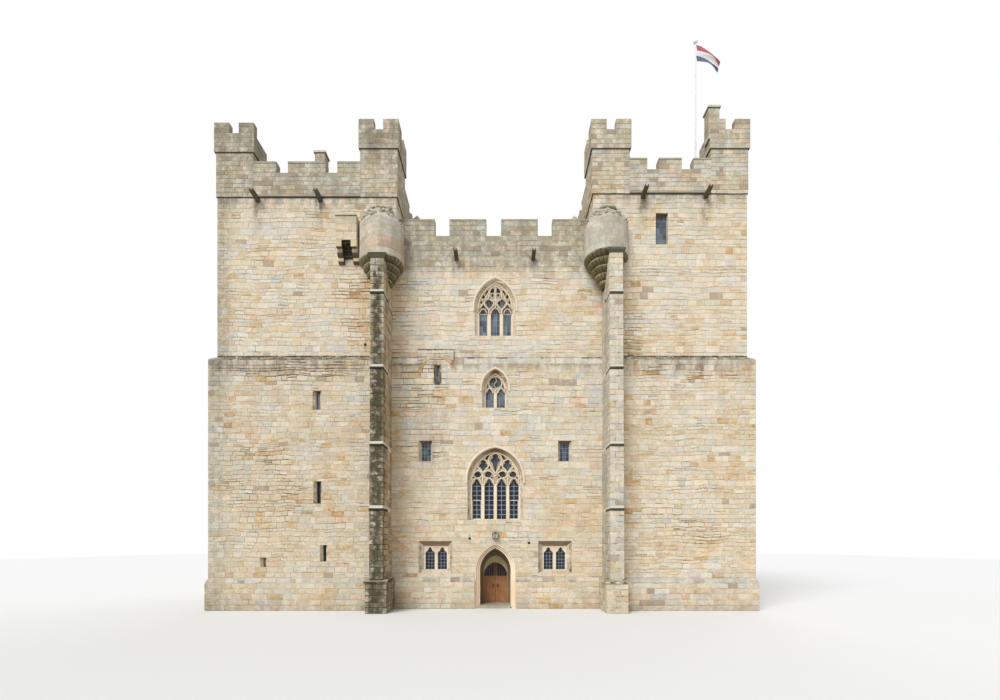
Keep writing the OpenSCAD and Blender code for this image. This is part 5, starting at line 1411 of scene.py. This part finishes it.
def ring_handles():
    """An iron plate with a hanging ring on each leaf."""
    n, m = 18, 6     # steps round the ring and round its bar
    for side, name in ((-1, "left"), (1, "right")):
        pile = Pile(name + "_ring_handle")
        x, y = X_AXIS + side * 0.13, min(corner[1] for corner in nodes[name + "_door"].bound_box)
        bar(pile, x - 0.035, x + 0.035, y - 0.008, y + 0.002, 1.08, 1.22)
        bar(pile, x - 0.012, x + 0.012, y - 0.036, y - 0.004, 1.145, 1.17)
        points, faces = [], []
        for i in range(n):
            a = 2 * math.pi * i / n
            for j in range(m):
                b = 2 * math.pi * j / m
                r = 0.062 + 0.008 * math.cos(b)
                points.append((x + r * math.sin(a), y - 0.024 + 0.008 * math.sin(b), 1.098 + r * math.cos(a)))
                here, on = i * m, (i + 1) % n * m
                faces.append((here + j, here + (j + 1) % m, on + (j + 1) % m, on + j))
        pile.shape(points, faces, PLAIN)
        pile.build(name + "_leaf", "iron", "iron")


ring_handles()


def lantern():
    """A square lamp on the wall: posts and a stepped cap round pale panes."""
    iron, panes = Pile("lantern_frame"), Pile("lantern_panes")
    x0, x1, y0, y1, z0, z1 = 0.525, 0.855, -6.2, -6.01, 3.8, 4.14
    for a, b, low, high in ((0.0, 0.0, z0, z0 + 0.025), (0.0, 0.0, z1 - 0.075, z1 - 0.05),
                            (0.05, 0.03, z1 - 0.05, z1 - 0.025), (0.11, 0.06, z1 - 0.025, z1)):
        bar(iron, x0 + a, x1 - a, y0 + b, y1 - b, low, high)
    for x in (x0, (x0 + x1) / 2 - 0.011, x1 - 0.022):
        for y in (y0, y1 - 0.022):
            bar(iron, x, x + 0.022, y, y + 0.022, z0 + 0.02, z1 - 0.07)
    bar(iron, X_AXIS - 0.03, X_AXIS + 0.03, y1 - 0.005, Y_BAY - 0.02, 3.94, 4.0)
    bar(panes, x0 + 0.008, x1 - 0.008, y0 + 0.008, y1 - 0.008, z0 + 0.02, z1 - 0.07)
    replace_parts(iron.build(slot="iron", material="iron"), "lantern")
    panes.build(slot="window_glass", material="pane")


lantern()


# ---------------------------------------------------------------- flag

def flag():
    """A limp flag: the free end sinks, and the cloth falls in soft folds."""
    hoist, fly, across, down = 0.97, 1.75, 60, 30
    x, y, z = 12.535, -3.75, 32.93
    verts, cut = [], []
    for i in range(across + 1):
        s = i / across
        for t in [j / down for j in range(down + 1)]:
            fold = 0.1 * s * math.sin(9.5 * t + 3.2 * s) + 0.03 * s * math.sin(21 * t + 7 * s)
            verts.append((x - 0.16 * s * t * hoist - 0.02 * math.cos(9.5 * t), y + fold,
                          z - hoist * t * (1 - 0.34 * s)))
            cut.append((fly * s, t, 0.0))
        # the upper edge runs out and down in an even curve
        slope = math.radians(12 + 50 * s)
        x, z = x + fly / across * math.cos(slope), z - fly / across * math.sin(slope)
    faces = [(i * (down + 1) + j, (i + 1) * (down + 1) + j, (i + 1) * (down + 1) + j + 1, i * (down + 1) + j + 1)
             for i in range(across) for j in range(down)]
    mesh = bpy.data.meshes.new("flag_cloth")
    mesh.from_pydata(verts, [], faces)
    mesh.attributes.new("cut", "FLOAT_VECTOR", "POINT").data.foreach_set("vector", np.array(cut, np.float32).ravel())
    mesh.materials.append(M["cloth"])
    for polygon in mesh.polygons:
        polygon.use_smooth = True
    made = new_object("flag_cloth", mesh)
    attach(made, "keep")
    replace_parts(made, "flag")


flag()


# ---------------------------------------------------------------- stage

def stage():
    """A plain pale floor, two wide lamps, a pale world that looks white, and the camera."""
    s = Shader("pale floor")
    s.tree.nodes.remove(s.bsdf)
    s.put(s.tree.nodes["Material Output"].inputs["Surface"], s.add("BsdfDiffuse", 0, {"Color": (0.78, 0.78, 0.77)}))
    mesh = bpy.data.meshes.new("floor")
    corners = (-120, -60), (120, -60), (120, 150), (-120, 150)
    mesh.from_pydata([(x, y, -0.002) for x, y in corners], [], [(0, 1, 2, 3)])
    mesh.materials.append(s.owner)
    new_object("floor", mesh)

    world = bpy.context.scene.world = bpy.data.worlds.new("studio")
    w = Tree(world)
    seen, glossy, through = [w.add("LightPath", f"Is {ray} Ray") for ray in ("Camera", "Glossy", "Transmission")]
    pale = w.add("Background", 0, {"Color": (0.96, 0.98, 1.0), "Strength": 0.5})
    white = w.add("Background", 0, {"Color": (1.0, 1.0, 1.0), "Strength": 1.0})
    sky = w.add("MixShader", 0, {0: w.most(w.most(seen, glossy), through), 1: pale, 2: white})
    w.put(w.tree.nodes["World Output"].inputs["Surface"], sky)

    for name, strength, spread, tilt, turn in (("key", 2.6, 35, 48, -32), ("fill", 0.9, 60, 55, 160)):
        lamp = bpy.data.lights.new(name, "SUN")
        lamp.energy, lamp.angle = strength, math.radians(spread)
        new_object(name, lamp).rotation_euler = math.radians(tilt), 0, math.radians(turn)

    lens = bpy.data.cameras.new("camera")
    lens.lens, lens.sensor_width, lens.shift_y, lens.clip_end = 17.1, 36, 0.195, 600
    camera = bpy.context.scene.camera = new_object("camera", lens)
    camera.location = 0.947, -31.75, 3.45
    camera.rotation_euler = math.radians(90), 0, 0
    bpy.context.scene.view_settings.view_transform = "Standard"


stage()
